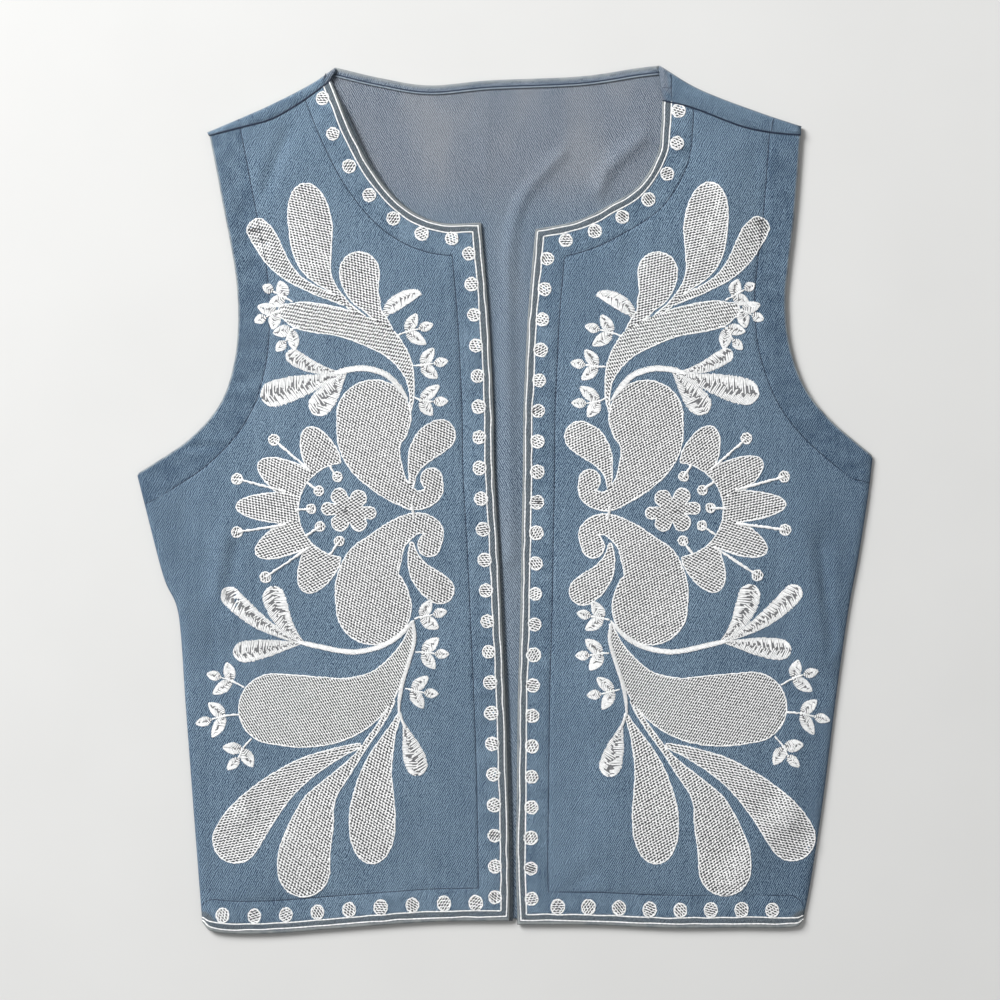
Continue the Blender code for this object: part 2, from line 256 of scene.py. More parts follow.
# Curves in the plane
def smooth_line(points, steps, corners=()):
    """Curve through points, with a sharp bend at each index in corners."""
    points = np.array(points, float)
    stops = [0, *corners, len(points) - 1]
    line = [points[0]]
    for first, last in zip(stops, stops[1:]):
        run = points[first : last + 1]
        tangents = np.gradient(run, axis=0)
        for i in range(len(run) - 1):
            for t in np.arange(1, steps + 1) / steps:
                start = (1 + 2 * t) * (1 - t) ** 2 * run[i] + t * (1 - t) ** 2 * tangents[i]
                end = t * t * (3 - 2 * t) * run[i + 1] - t * t * (1 - t) * tangents[i + 1]
                line.append(start + end)
    return np.array(line)


def lengths_along(line):
    return np.concatenate([[0], np.cumsum(np.linalg.norm(np.diff(line, axis=0), axis=1))])


def looked_up(wanted, places, line):
    """Points of a line at the wanted places, where places holds that of each of its points."""
    return np.stack([np.interp(wanted, places, line[:, k]) for k in range(line.shape[1])], axis=1)


def at_lengths(line, wanted):
    """Points at these lengths along a line."""
    return looked_up(wanted, lengths_along(line), line)


def at_fractions(line, fractions):
    return at_lengths(line, np.asarray(fractions) * lengths_along(line)[-1])


def evenly(line, count):
    return at_fractions(line, np.linspace(0, 1, count))


def spaced(line, spacing):
    """The line with points about spacing apart."""
    return evenly(line, max(2, round(lengths_along(line)[-1] / spacing) + 1))


def trimmed(line, start, end):
    """The line without its first start and last end millimetres."""
    total = lengths_along(line)[-1]
    return at_lengths(line, np.linspace(start, total - end, len(line)))


def directions(line):
    along = np.gradient(line, axis=-2)
    return along / np.maximum(np.linalg.norm(along, axis=-1, keepdims=True), TINY)


def quarter_turn(vectors):
    return np.stack([-vectors[..., 1], vectors[..., 0]], axis=-1)


def moved_to(line, distance, target):
    """The line moved sideways by distance, towards the side that target lies on."""
    sideways = quarter_turn(directions(line))
    middle = len(line) // 2
    if np.dot(sideways[middle], np.asarray(target) - line[middle]) < 0:
        sideways = -sideways
    return line + np.asarray(distance).reshape(-1, 1) * sideways


def cut_where_met(first, second):
    """First up to, and second from, the place where the two lines come closest."""
    gaps = np.linalg.norm(first[:, None] - second[None], axis=2)
    i, j = np.unravel_index(gaps.argmin(), gaps.shape)
    meeting = (first[i] + second[j]) / 2
    return np.vstack([first[:i], meeting]), np.vstack([meeting, second[j + 1 :]])


def distance_to(points, line, batch=4000):
    """Distance of each point to the nearest place on a line."""
    flat = points.reshape(-1, 2)
    start, span = line[:-1][None], np.diff(line, axis=0)[None]
    squared = np.maximum((span * span).sum(2), TINY)
    found = []
    for first in range(0, len(flat), batch):
        part = flat[first : first + batch, None]
        share = np.clip(((part - start) * span).sum(2) / squared, 0, 1)
        found.append(np.linalg.norm(part - start - share[..., None] * span, axis=2).min(1))
    return np.concatenate(found).reshape(points.shape[:-1])


def ridge_height(points, folds):
    """Height that soft ridges and troughs add at each point."""
    total = np.zeros(points.shape[:-1])
    for fold in folds:
        crest = smooth_line(fold.line, FOLD_STEPS)
        total += fold.height * np.exp(-((distance_to(points, crest) / fold.reach) ** 2))
    return total


def soft_noise(points, size, seed, cells=64):
    """Smooth random field from -1 to 1 with bumps about size millimetres wide."""
    lattice = np.random.default_rng(seed).uniform(-1, 1, (cells, cells))
    place = points / size
    cell = np.floor(place).astype(int)
    share = place - cell
    a, b = np.moveaxis(share * share * (3 - 2 * share), -1, 0)
    i, j = np.moveaxis(cell, -1, 0) % cells
    k, m = (i + 1) % cells, (j + 1) % cells
    low = lattice[i, j] * (1 - a) + lattice[k, j] * a
    high = lattice[i, m] * (1 - a) + lattice[k, m] * a
    return low * (1 - b) + high * b


def patch(bottom, top, left, right, across, up):
    """Grid of points that fills four edges; across and up hold each column's and row's share."""
    v = np.asarray(up)[:, None, None]
    u = np.asarray(across)[None, :, None]
    between_ends = (1 - v) * bottom[None] + v * top[None]
    between_sides = (1 - u) * left[:, None] + u * right[:, None]
    corners = (1 - v) * ((1 - u) * bottom[0] + u * bottom[-1]) + v * ((1 - u) * top[0] + u * top[-1])
    return between_ends + between_sides - corners


# Cloth
class Relief:
    """Top of a panel on a square grid, so that sewing can be laid on it quickly."""

    def __init__(self, low, high, height_of):
        self.low = np.array(low, float)
        axes = [np.arange(low[k], high[k] + RELIEF_STEP, RELIEF_STEP) for k in range(2)]
        self.height = height_of(np.stack(np.meshgrid(*axes, indexing="ij"), axis=-1))

    def __call__(self, points):
        most = np.array(self.height.shape) - RELIEF_END
        place = np.clip((points - self.low) / RELIEF_STEP, 0, most)
        cell = place.astype(int)
        a, b = np.moveaxis(place - cell, -1, 0)
        i, j = np.moveaxis(cell, -1, 0)
        near = self.height[i, j] * (1 - a) + self.height[i + 1, j] * a
        far = self.height[i, j + 1] * (1 - a) + self.height[i + 1, j + 1] * a
        return near * (1 - b) + far * b


class Front:
    """Edges, grid and relief of one front panel."""

    RELIEF_MARGIN = 4.0
    GROOVE_DEPTH = 0.42
    GROOVE_WIDTH = 1.0
    WHITE_GROOVE_DEPTH = 0.3
    WHITE_GROOVE_WIDTH = 0.8
    EDGE_ROUND = 0.7
    PANEL_WAVE_HEIGHT = 0.5
    PUCKER_EASE = 4.0
    PANEL_WAVE_SIZE = 38.0
    PANEL_WAVE_EASE = 40.0
    PANEL_WAVE_SEED = 9
    HEM_CORNER = 12.0
    LINE_STEP = 0.5
    ARMHOLE_STEP = 1.0
    ARMHOLE_SKIP = 2
    ARMHOLE_LEAD = 4
    STAND_FROM = 188.0
    STAND_FULL = 236.0
    STAND_EASE = 18.0
    STAND_REACH = 24.0

    def __init__(self, side, seed):
        self.side, self.seed = side, seed
        rows = SECTIONS[side]
        self.outer = smooth_line([(r.outer_x, r.outer_y) for r in rows], FINE_STEPS, [ARMPIT])
        self.inner = smooth_line([(r.inner_x, r.inner_y) for r in rows], FINE_STEPS, [NECK_CORNER])
        self.side_seam = self.outer[: ARMPIT * FINE_STEPS + 1]
        self.armhole = self.outer[ARMPIT * FINE_STEPS :]
        self.opening = self.inner[: NECK_CORNER * FINE_STEPS + 1]
        self.neckline = self.inner[NECK_CORNER * FINE_STEPS :]
        self.hem = smooth_line(HEM[side], FINE_STEPS)
        self.seam = smooth_line(SEAM[side], FINE_STEPS)
        self.middle = np.vstack([self.outer, self.inner]).mean(0)
        every = np.vstack([self.outer, self.inner, self.hem, self.seam])
        box = every.min(0) - self.RELIEF_MARGIN, every.max(0) + self.RELIEF_MARGIN
        self.relief = Relief(*box, self.height)
        self.ungrooved = Relief(*box, lambda points: self.height(points, 0.0))

    def gaps(self, points):
        """Distances of points to the hem, opening or neckline, armhole, side seam and shoulder seam."""
        lines = (self.hem, self.opening, self.neckline, self.armhole, self.side_seam, self.seam)
        hem, opening, neckline, *others = (distance_to(points, line) for line in lines)
        return hem, np.minimum(opening, neckline), *others

    def puckers(self, points, bands):
        """Height of the ripples that the stitch lines draw into the bands along hem, opening and armhole."""
        total = np.zeros(points.shape[:-1])
        for k, (gap, ripple) in enumerate(zip(bands, RIPPLES)):
            in_band = np.clip(1 - (gap - BAND) / RIPPLE_FADE, 0, 1)
            total += ripple.height * in_band * soft_noise(points * ripple.squeeze, ripple.size, self.seed + k)
        return total

    def neck_stand(self, points, seam):
        """Height by which the upper neckline stands off the back."""
        up = np.clip((points[..., 1] - self.STAND_FROM) / (self.STAND_FULL - self.STAND_FROM), 0, 1)
        off_seam = np.clip(seam / self.STAND_EASE, 0, 1)
        near = np.exp(-((distance_to(points, self.neckline) / self.STAND_REACH) ** 2))
        return NECK_STAND[self.side] * near * up * up * (3 - 2 * up) * off_seam

    def under(self, points):
        """Middle height of a facing that lies against the panel's underside."""
        return np.maximum(self.relief(points) - CLOTH - SEAM_GAP - FACING / 2, FACING_LEVEL)

    def height(self, points, groove_depth=GROOVE_DEPTH):
        """Height of the panel's top; the stitch lines that hold the bands down lie in grooves."""
        hem, inner, arm, side, seam = self.gaps(points)
        edge = np.minimum(hem - HEM_EXTRA, inner)
        nearest = np.minimum.reduce([hem, inner, arm, side, seam])
        near_side = np.clip(1 - side / SIDE_ROLL, 0, 1)
        level = FRONT_LEVEL + CLOTH / 2 + LOFT * (1 - np.exp(-((nearest / LOFT_REACH) ** 2)))
        level += ridge_height(points, FRONT_FOLDS[self.side]) * (1 - near_side)
        level += self.neck_stand(points, seam)
        level -= SIDE_DROP * near_side**2
        for gap in (edge, arm):
            level -= groove_depth * np.exp(-(((gap - BAND) / self.GROOVE_WIDTH) ** 2))
        for line in WHITE_LINES:
            level -= self.WHITE_GROOVE_DEPTH * np.exp(-(((edge - line) / self.WHITE_GROOVE_WIDTH) ** 2))
        level -= self.EDGE_ROUND * np.exp(-((nearest / self.EDGE_ROUND) ** 2))
        level += self.puckers(points, (hem, inner, arm)) * np.clip(nearest / self.PUCKER_EASE, 0, 1)
        within = np.clip(nearest / self.PANEL_WAVE_EASE, 0, 1)
        wave = soft_noise(points, self.PANEL_WAVE_SIZE, self.seed + self.PANEL_WAVE_SEED)
        return level + self.PANEL_WAVE_HEIGHT * within * wave

    def grid(self):
        """Points of the panel's top, with columns along its edges at the distances in DENSE."""
        lengths = (lengths_along(self.outer) + lengths_along(self.inner)) / 2
        total = lengths[-1]
        middle = np.arange(DENSE[-1] + ROW_SPACING, total - SEAM_DENSE[-1], ROW_SPACING)
        wanted = np.concatenate([DENSE, middle, total - np.array(SEAM_DENSE[::-1])])
        outer, inner = looked_up(wanted, lengths, self.outer), looked_up(wanted, lengths, self.inner)
        shares = np.linspace(0, 1, ROW_SAMPLES)
        hem, seam = at_fractions(self.hem, shares), at_fractions(self.seam, shares)
        rows = patch(hem, seam, outer, inner, shares, wanted / total)
        from_outer, from_inner = distance_to(rows, self.outer), distance_to(rows, self.inner)
        points = []
        for row, start, end in zip(rows, from_outer, from_inner):
            near = np.interp(DENSE, np.maximum.accumulate(start), shares)
            far = 1 - np.interp(DENSE, np.maximum.accumulate(end[::-1]), shares)
            between = np.linspace(near[-1], far[-1], MIDDLE_COLUMNS + 2)[1:-1]
            columns = np.concatenate([near, between, far[::-1]])
            points.append(looked_up(columns, shares, row))
        return np.array(points)

    def finished_line(self, inset):
        """Line inside the neckline, opening and hem, with mitred corners, from the shoulder to the side."""
        runs = [spaced(line, self.LINE_STEP) for line in (self.neckline[::-1], self.opening[::-1])]
        neck, opening = (moved_to(run, inset, self.middle) for run in runs)
        hem = spaced(self.hem, self.LINE_STEP)
        near_side = np.clip(1 - lengths_along(hem) / self.HEM_CORNER, 0, 1)
        hem[:, 1] += (inset + HEM_EXTRA) * (1 - near_side**2 / 2)
        hem = hem[::-1]
        neck, opening = cut_where_met(neck, opening)
        opening, hem = cut_where_met(opening, hem)
        return neck, opening, hem

    def armhole_line(self, inset):
        """Line inside the armhole, from the side seam up and on over the shoulder strip."""
        line = moved_to(spaced(self.armhole, self.ARMHOLE_STEP), inset, self.middle)
        reach = self.side_seam[np.linalg.norm(self.side_seam - line[0], axis=1).argmin()]
        heading = (line[-1] - line[-1 - self.ARMHOLE_LEAD]) / self.ARMHOLE_LEAD
        return np.vstack([reach, line[self.ARMHOLE_SKIP :], line[-1] + heading * SHOULDER_STRIP])


def with_height(points, height):
    return np.concatenate([points, np.broadcast_to(height, points.shape[:-1])[..., None]], axis=-1)


def link(name, data, materials):
    piece = bpy.data.objects.new(name, data)
    bpy.context.scene.collection.objects.link(piece)
    for material in materials:
        data.materials.append(material)
    data.shade_smooth()
    return piece


def shell(name, grids, attributes, thickness, offset, materials):
    """Cloth around one or more grids of points that share edge points; attributes hold a value a point."""
    points = np.vstack([grid.reshape(-1, 3) for grid in grids]) * MM
    faces, first = [], 0
    for grid in grids:
        rows, columns = grid.shape[:2]
        index = first + np.arange(rows * columns).reshape(rows, columns)
        corners = [index[:-1, :-1], index[:-1, 1:], index[1:, 1:], index[1:, :-1]]
        faces.append(np.stack(corners, axis=-1).reshape(-1, 4))
        first += rows * columns
    data = bpy.data.meshes.new(name)
    data.from_pydata(points.tolist(), [], np.vstack(faces).tolist())
    for key, values in attributes.items():
        layer = data.attributes.new(key, "FLOAT", "POINT")
        layer.data.foreach_set("value", np.asarray(values, np.float32).ravel())
    piece = link(name, data, materials)
    if len(grids) > 1:
        weld = piece.modifiers.new("weld", "WELD")
        weld.merge_threshold = WELD * MM
    solid = piece.modifiers.new("thickness", "SOLIDIFY")
    solid.thickness = thickness * MM
    solid.offset = offset
    solid.material_offset = len(materials) - 1
    return piece


def make_front(front, materials):
    points = front.grid()
    hem, inner, arm, side, _ = front.gaps(points)
    edge = np.minimum(hem - HEM_EXTRA, inner)
    attributes = {"edge_gap": edge, "armhole_gap": arm, "rim_gap": np.minimum(edge, arm), "blend": 0 * edge}
    attributes["darker_tone"] = DARKER_PANEL[front.side] + DARKER_SIDE * np.exp(-((side / DARKER_REACH) ** 2))
    grid = with_height(points, front.height(points))
    if front.side == "left":
        grid = grid[:, ::-1]
        attributes = {key: values[:, ::-1] for key, values in attributes.items()}
    return shell(f"denim_front_{front.side}", [grid], attributes, CLOTH, -1, materials)


def shoulder_turn(side):
    """Rows of the back that turn over a shoulder and come forward to the seam, from the tip to the neck."""
    fold = evenly(smooth_line(SHOULDER_FOLD[side], FINE_STEPS), BACK_COLUMNS["shoulder"])
    seam = evenly(smooth_line(SEAM[side], FINE_STEPS), BACK_COLUMNS["shoulder"])
    run = fold[-1] - fold[0]
    outwards = np.array([-run[1], run[0]]) / np.linalg.norm(run)
    if outwards[1] < 0:
        outwards = -outwards
    crease = fold - outwards * (FOLD_RADIUS + CLOTH / 2)
    rows = []
    for angle in np.linspace(0, math.pi, TURN_STEPS + 1):
        height = BACK_LEVEL + FOLD_RADIUS * (1 - math.cos(angle))
        rows.append(with_height(crease + outwards * FOLD_RADIUS * math.sin(angle), height))
    edge = seam + outwards * SEAM_GAP
    for share in SHOULDER_SHARES:
        puff = SEAM_PUFF * math.sin(math.pi * share) if share < 1 else -SEAM_TUCK
        rows.append(with_height(crease * (1 - share) + edge * share, FRONT_LEVEL + puff))
    return np.array(rows)


def back_grids(fronts):
    """Grids of the back: its flat part, and the two shoulders that turn forward."""
    turns = {side: shoulder_turn(side) for side in SECTIONS}
    creases = {side: turn[0, :, :2] for side, turn in turns.items()}
    neck = evenly(smooth_line(BACK_NECKLINE, FINE_STEPS), BACK_COLUMNS["neck"])[1:-1]
    top = np.vstack([creases["right"], neck, creases["left"][::-1]])
    across = (top[:, 0] - top[0, 0]) / (top[-1, 0] - top[0, 0])
    bottom = at_fractions(smooth_line(BACK_HEM, FINE_STEPS), across)
    lengths = lengths_along(fronts["right"].outer)
    count = round(lengths[-1] / BACK_ROW_SPACING)
    places = np.linspace(0, len(lengths) - 1, count)
    sides = {}
    for side, front in fronts.items():
        edge = moved_to(front.outer, EDGE_INSET, front.middle)
        edge[0] = bottom[0] if side == "right" else bottom[-1]
        edge[-1] = creases[side][0]
        sides[side] = looked_up(places, np.arange(len(edge)), edge)
    points = patch(bottom, top, sides["right"], sides["left"], across, np.linspace(0, 1, count))
    height = BACK_LEVEL + ridge_height(points, BACK_FOLDS)
    height[-1] = BACK_LEVEL
    return [with_height(points, height), turns["right"], turns["left"][:, ::-1]]


def make_back(fronts, materials):
    """The back, with its worn shoulders and the tabs where the neck hem comes over them."""
    flat, *turns = back_grids(fronts)
    far = np.full(flat.shape[:2], FAR)
    # Painted shade: in the gap between the fronts, below GAP_TOP, the back's inside turns towards the darker
    # face colours, where the fronts' edges shade it
    gap_shade = GAP_SHADE * np.interp(flat[..., 1], GAP_TOP, (1, 0))
    tones = [{"edge_gap": far, "armhole_gap": far, "rim_gap": far, "blend": gap_shade, "darker_tone": 0 * far}]
    for side, turn in zip(SECTIONS, turns):
        points = turn[..., :2]
        fold, seam = (smooth_line(lines[side], FINE_STEPS) for lines in (SHOULDER_FOLD, SEAM))
        worn = np.minimum(distance_to(points, fold), distance_to(points, seam) + SEAM_WEAR)
        from_neck = np.linalg.norm((points - fold[-1]) * TAB_SQUEEZE, axis=-1)
        tone = {"edge_gap": np.full(worn.shape, MOTTLED), "armhole_gap": np.full(worn.shape, FAR)}
        tone |= {"rim_gap": worn, "blend": from_neck < TAB, "darker_tone": np.full(worn.shape, SHOULDER_DARKER)}
        tones.append(tone)
    attributes = {key: np.concatenate([tone[key].ravel() for tone in tones]) for key in tones[0]}
    return shell("denim_back", [flat, *turns], attributes, CLOTH, 0, materials)


def strip_rows(line):
    """How many rows of points a strip along this line has."""
    return round(lengths_along(line)[-1] / STRIP_SPACING)


def strip(name, outer, inner, level, materials, wear=FAR, stitched=False, blend=0.0, band=FAR):
    """Narrow shell between two lines with as many points, at the height that level gives for each point."""
    shares = STRIP_COLUMNS[None, :, None]
    points = (1 - shares) * outer[:, None] + shares * inner[:, None]
    grid = with_height(points, level(points))
    gap = distance_to(points, outer)
    blank = np.full(gap.shape, FAR)
    rim, edge = gap * wear, gap if stitched else np.full(gap.shape, band)
    attributes = {"edge_gap": edge, "armhole_gap": blank, "rim_gap": rim, "blend": 0 * blank + blend}
    a, b, c = grid[0, 0], grid[0, 1], grid[1, 0]
    if np.cross(b - a, c - a)[2] < 0:
        grid = grid[:, ::-1]
        attributes = {key: values[:, ::-1] for key, values in attributes.items()}
    return shell(name, [grid], attributes, FACING, 0, materials)


def flat_level(points):
    return np.full(points.shape[:-1], FACING_LEVEL)


def make_facing(front, materials):
    neck, opening = trimmed(front.neckline[::-1], STRIP_END, 0), front.opening[::-1]
    neck_in, opening_in = cut_where_met(
        moved_to(neck, BAND, front.middle), moved_to(opening, BAND, front.middle)
    )
    shares = np.linspace(0, 1, len(neck))
    neck = moved_to(neck, -NECK_PEEK[front.side] * np.interp(shares, *NECK_PEEK_SHARES), front.middle)
    peek = np.linspace(0, -FACING_PEEK[front.side], len(opening))
    opening = moved_to(opening, peek, front.middle)
    neck_rows, opening_rows = strip_rows(neck), strip_rows(opening)
    outer = np.vstack([evenly(neck, neck_rows), evenly(opening, opening_rows)[1:]])
    inner = np.vstack([evenly(neck_in, neck_rows), evenly(opening_in, opening_rows)[1:]])
    return strip(f"denim_facing_{front.side}", outer, inner, front.under, materials, stitched=True)


def make_armhole_facing(front, materials):
    armhole = trimmed(front.armhole, ARMPIT_END, STRIP_END)
    rows = strip_rows(armhole)
    inside = moved_to(armhole, BAND, front.middle)
    name = f"denim_armhole_facing_{front.side}"
    return strip(name, evenly(armhole, rows), evenly(inside, rows), flat_level, materials)


def make_hem(front, materials):
    hem = trimmed(front.hem, STRIP_END, BAND + SEAM_GAP)
    rows = strip_rows(hem)
    inside = moved_to(hem, BAND, front.middle)
    return strip(f"denim_hem_{front.side}", evenly(hem, rows), evenly(inside, rows), flat_level, materials)


def make_neck_hem(materials):
    line = smooth_line(BACK_NECKLINE, FINE_STEPS)
    edge = trimmed(line, NECK_HEM_END, NECK_HEM_END)
    rows = strip_rows(edge)
    edge, inside = evenly(edge, rows), evenly(moved_to(edge, NECK_HEM, (0, 0)), rows)

    def sloping(points):
        return NECK_HEM_LEVEL - NECK_HEM_SLOPE * distance_to(points, edge)

    return strip(
        "denim_neck_hem", edge, inside, sloping, materials, wear=NECK_WEAR, blend=NECK_BLEND, band=MOTTLED
    )


# Sewing
Stitch = namedtuple("Stitch", "width height lift taper", defaults=(0.0, 0.4))
STITCH_STATIONS = np.array([0, 0.5, 1])
PLATE_KEEPS_INSIDE = 1
PLATE_TOLERANCE = 1e-6


class Sewing:
    """Stitches gathered into one mesh. Each is a thread with two slopes, laid on the cloth."""

    def __init__(self, cloth):
        self.cloth = cloth
        self.points, self.faces, self.count = [], [], 0

    def threads(self, lines, stitch, widths=None):
        """Threads along lines, an array of count by stations by 2; widths may differ on the two sides."""
        lines = np.asarray(lines, float)
        count, stations = lines.shape[:2]
        widths = np.ones(stations) if widths is None else np.asarray(widths, float)
        sides = np.broadcast_to(widths.reshape(stations, -1), (stations, 2)).copy()
        sides[[0, -1]] *= stitch.taper
        aside = quarter_turn(directions(lines)) * (stitch.width / 2)
        rows = np.stack([lines + aside * sides[:, :1], lines, lines - aside * sides[:, 1:]], axis=2)
        level = self.cloth(rows) + stitch.lift
        level[:, :, 1] += stitch.height * sides.mean(1)
        points = np.concatenate([rows, level[..., None]], axis=-1).reshape(-1, 3)
        index = self.count + np.arange(count * stations * 3).reshape(count, stations, 3)
        start, end = index[:, :-1], index[:, 1:]
        for a, b in ((0, 1), (1, 2)):
            quads = np.stack([start[..., a], start[..., b], end[..., b], end[..., a]], axis=-1)
            self.faces.extend(quads.reshape(-1, 4).tolist())
        self.points.append(points)
        self.count += len(points)

    def thread(self, line, stitch, widths=None):
        self.threads(np.asarray(line)[None], stitch, widths)

    def plate(self, outline, thickness, spacing):
        """Flat piece inside an outline, lying on the cloth."""
        low, high = outline.min(0), outline.max(0)
        axes = [np.arange(low[k] + spacing / 2, high[k], spacing) for k in range(2)]
        inner = np.stack(np.meshgrid(*axes), axis=-1).reshape(-1, 2)
        count = len(outline)
        edges = [(i, (i + 1) % count) for i in range(count)]
        points = [Vector(p) for p in np.vstack([outline, inner])]
        filled = geometry.delaunay_2d_cdt(points, edges, [], PLATE_KEEPS_INSIDE, PLATE_TOLERANCE)
        points, _, faces, *_ = filled
        flat = np.array(points)
        top = with_height(flat, self.cloth(flat) + thickness)
        self.points.append(top)
        self.faces.extend([[i + self.count for i in face] for face in faces])
        self.count += len(top)

    def make(self, name, material):
        data = bpy.data.meshes.new(name)
        data.from_pydata((np.vstack(self.points) * MM).tolist(), [], self.faces)
        return link(name, data, [material])


def straight(starts, ends):
    """Short straight lines from starts to ends, with the stations that a stitch has."""
    shares = STITCH_STATIONS[None, :, None]
    return (1 - shares) * np.asarray(starts)[:, None] + shares * np.asarray(ends)[:, None]


def running_stitches(line, length, gap):
    """Starts and ends of stitches along a line."""
    total = lengths_along(line)[-1]
    count = max(1, int((total + gap) / (length + gap)))
    pitch = (total + gap) / count
    starts = np.arange(count) * pitch
    return at_lengths(line, starts), at_lengths(line, np.minimum(starts + pitch - gap, total))


# Motifs of the right front as rows of (x, y, width), from the place where the two paisleys meet
Fill = namedtuple("Fill", "pitch wave shift opening lean", defaults=(0.46, 0.15))
WAVY = Fill(1.68, 2.15, 0.26, 0.46, 0.22)
TALL = Fill(1.67, 2.29, 0.34, 0.46, 0.22)
STEEP = Fill(1.51, 2.18, -0.28, 0.33, 0.4)
RISING = Fill(1.51, 2.44, 0.23)
PLUME = Fill(1.83, 2.2, 0.25)
SLOPING = Fill(1.65, 2.5, -0.41)
DOTTED = Fill(1.55, 2.4, 0.4)

Motif = namedtuple("Motif", "group angle stations fill head", defaults=(WAVY, 1.0))
Petal = namedtuple("Petal", "base tip width bend", defaults=(0.0,))
Sprig = namedtuple("Sprig", "root node first second base tip")
Stem = namedtuple("Stem", "width points")

MEETING = {"right": (-61.3, -7.0), "left": (69.2, -7.7)}
TILT = {"right": 0.0, "left": math.radians(1.1)}

OUTER_DROP = (
    (-44.6, 136.8, 2.0), (-54.0, 141.6, 4.2), (-63.3, 145.4, 5.0), (-72.0, 149.9, 5.8),
    (-76.6, 152.6, 7.0), (-80.7, 155.7, 8.4), (-84.5, 159.4, 10.2), (-87.9, 163.1, 12.0),
    (-91.2, 167.6, 13.8), (-94.2, 172.4, 15.2), (-97.0, 177.5, 16.0), (-100.5, 183.2, 16.2),
    (-104.2, 188.2, 14.0),
)
TALL_DROP = (
    (-30.5, 127.6, 1.0), (-36.8, 131.6, 2.4), (-43.4, 136.6, 3.2), (-48.2, 141.9, 3.6),
    (-52.1, 146.2, 4.8), (-56.2, 150.6, 8.2), (-60.8, 156.6, 14.4), (-64.0, 162.6, 20.2),
    (-66.0, 168.8, 24.0), (-67.2, 175.0, 26.3), (-67.7, 181.0, 27.8), (-67.9, 186.8, 28.6),
    (-68.7, 192.5, 28.4),
)
ROUND_DROP = (
    (-13.0, 115.0, 3.0), (-16.3, 120.8, 4.6), (-19.4, 125.4, 5.8), (-22.6, 128.9, 6.9),
    (-25.7, 132.7, 9.5), (-28.5, 138.0, 14.2), (-31.6, 142.8, 19.0), (-34.0, 148.8, 23.2),
    (-35.2, 154.5, 25.6), (-35.6, 158.8, 26.0),
)
LONG_DROP = (
    (-1.8, 66.0, 1.2), (-0.8, 72.4, 2.2), (-0.7, 78.6, 3.0), (-2.0, 88.1, 5.5), (-5.4, 97.0, 9.5),
    (-11.3, 105.7, 13.5), (-20.0, 113.7, 17.5), (-35.5, 120.8, 18.0), (-49.2, 125.2, 18.3),
    (-64.7, 128.0, 19.3), (-77.2, 130.0, 17.0), (-84.9, 132.1, 10.0),
)
UPPER_PAISLEY = (
    (12.4, 20.8, 14.2), (14.0, 13.0, 11.5), (9.2, 8.0, 11.5), (0.2, 6.8, 13.0), (-10.2, 13.6, 18.0),
    (-17.6, 21.9, 25.6), (-25.4, 35.0, 36.4), (-28.0, 46.9, 44.0), (-26.0, 61.8, 49.5),
)
LOWER_PAISLEY = (
    (10.9, -23.5, 15.0), (14.0, -14.4, 12.5), (8.2, -9.5, 13.0), (-0.4, -9.5, 14.5), (-12.4, -17.5, 19.8),
    (-20.6, -28.1, 29.5), (-26.6, -38.2, 39.5), (-28.2, -50.7, 46.5), (-26.0, -64.5, 50.0),
)
UPPER_SIDE_DROP = (
    (-0.7, 14.2, 2.0), (0.2, 25.5, 6.0), (4.4, 36.2, 15.0), (11.5, 45.1, 21.0), (18.1, 49.9, 20.5),
)
LOWER_SIDE_DROP = (
    (-0.7, -22.1, 2.0), (0.5, -31.7, 7.5), (4.8, -41.2, 14.0), (12.1, -48.6, 18.5), (18.1, -53.1, 18.5),
)
WIDE_DROP = (
    (0.1, -75.7, 2.0), (-3.4, -88.8, 7.0), (-8.8, -99.9, 12.0), (-17.5, -113.2, 20.5),
    (-27.6, -122.7, 29.5), (-41.4, -130.1, 38.0), (-56.8, -133.5, 44.5), (-74.7, -134.0, 47.5),
    (-92.6, -132.3, 46.5),
)
OUTER_PLUME = (
    (-36.0, -156.8, 3.0), (-48.0, -160.9, 6.6), (-59.3, -165.9, 10.5), (-66.0, -169.0, 12.8),
    (-72.3, -172.6, 15.0), (-78.8, -176.9, 17.0), (-85.0, -181.7, 19.2), (-91.2, -187.0, 21.8),
    (-97.0, -192.6, 24.4), (-103.0, -199.0, 27.2), (-108.6, -205.6, 29.6), (-113.2, -212.0, 30.8),
    (-118.0, -219.8, 30.8),
)
MIDDLE_PLUME = (
    (-12.5, -127.0, 1.6), (-17.6, -136.0, 2.8), (-24.0, -146.0, 3.2), (-29.5, -153.5, 3.4),
    (-34.3, -160.4, 3.6), (-39.4, -167.0, 5.4), (-44.7, -173.3, 7.8), (-50.8, -180.1, 10.8),
    (-56.7, -186.8, 14.2), (-60.2, -192.0, 18.2), (-63.2, -197.5, 22.3), (-66.7, -208.5, 28.0),
    (-69.9, -219.8, 31.6), (-72.3, -230.2, 34.2), (-72.6, -239.6, 34.4),
)
INNER_PLUME = (
    (-8.6, -135.5, 2.0), (-11.8, -142.5, 4.2), (-14.9, -149.0, 6.8), (-19.0, -159.1, 12.4),
    (-23.3, -172.1, 18.8), (-25.5, -185.1, 24.8), (-26.8, -199.6, 29.9), (-27.0, -211.0, 30.2),
)
MOTIFS = (
    Motif("upper", 59, LONG_DROP, RISING),
    Motif("upper", -12, TALL_DROP, TALL, 1.78),
    Motif("upper", 57, OUTER_DROP, WAVY, 0.75),
    Motif("upper", -14, ROUND_DROP),
    Motif("middle", -31, UPPER_PAISLEY),
    Motif("middle", -29, LOWER_PAISLEY),
    Motif("middle", -24, UPPER_SIDE_DROP),
    Motif("middle", -27, LOWER_SIDE_DROP),
    Motif("lower", -57, WIDE_DROP, STEEP),
    Motif("lower", -35, MIDDLE_PLUME, PLUME, 1.05),
    Motif("lower", -32, INNER_PLUME, PLUME, 1.62),
    Motif("lower", 11, OUTER_PLUME, SLOPING),
)

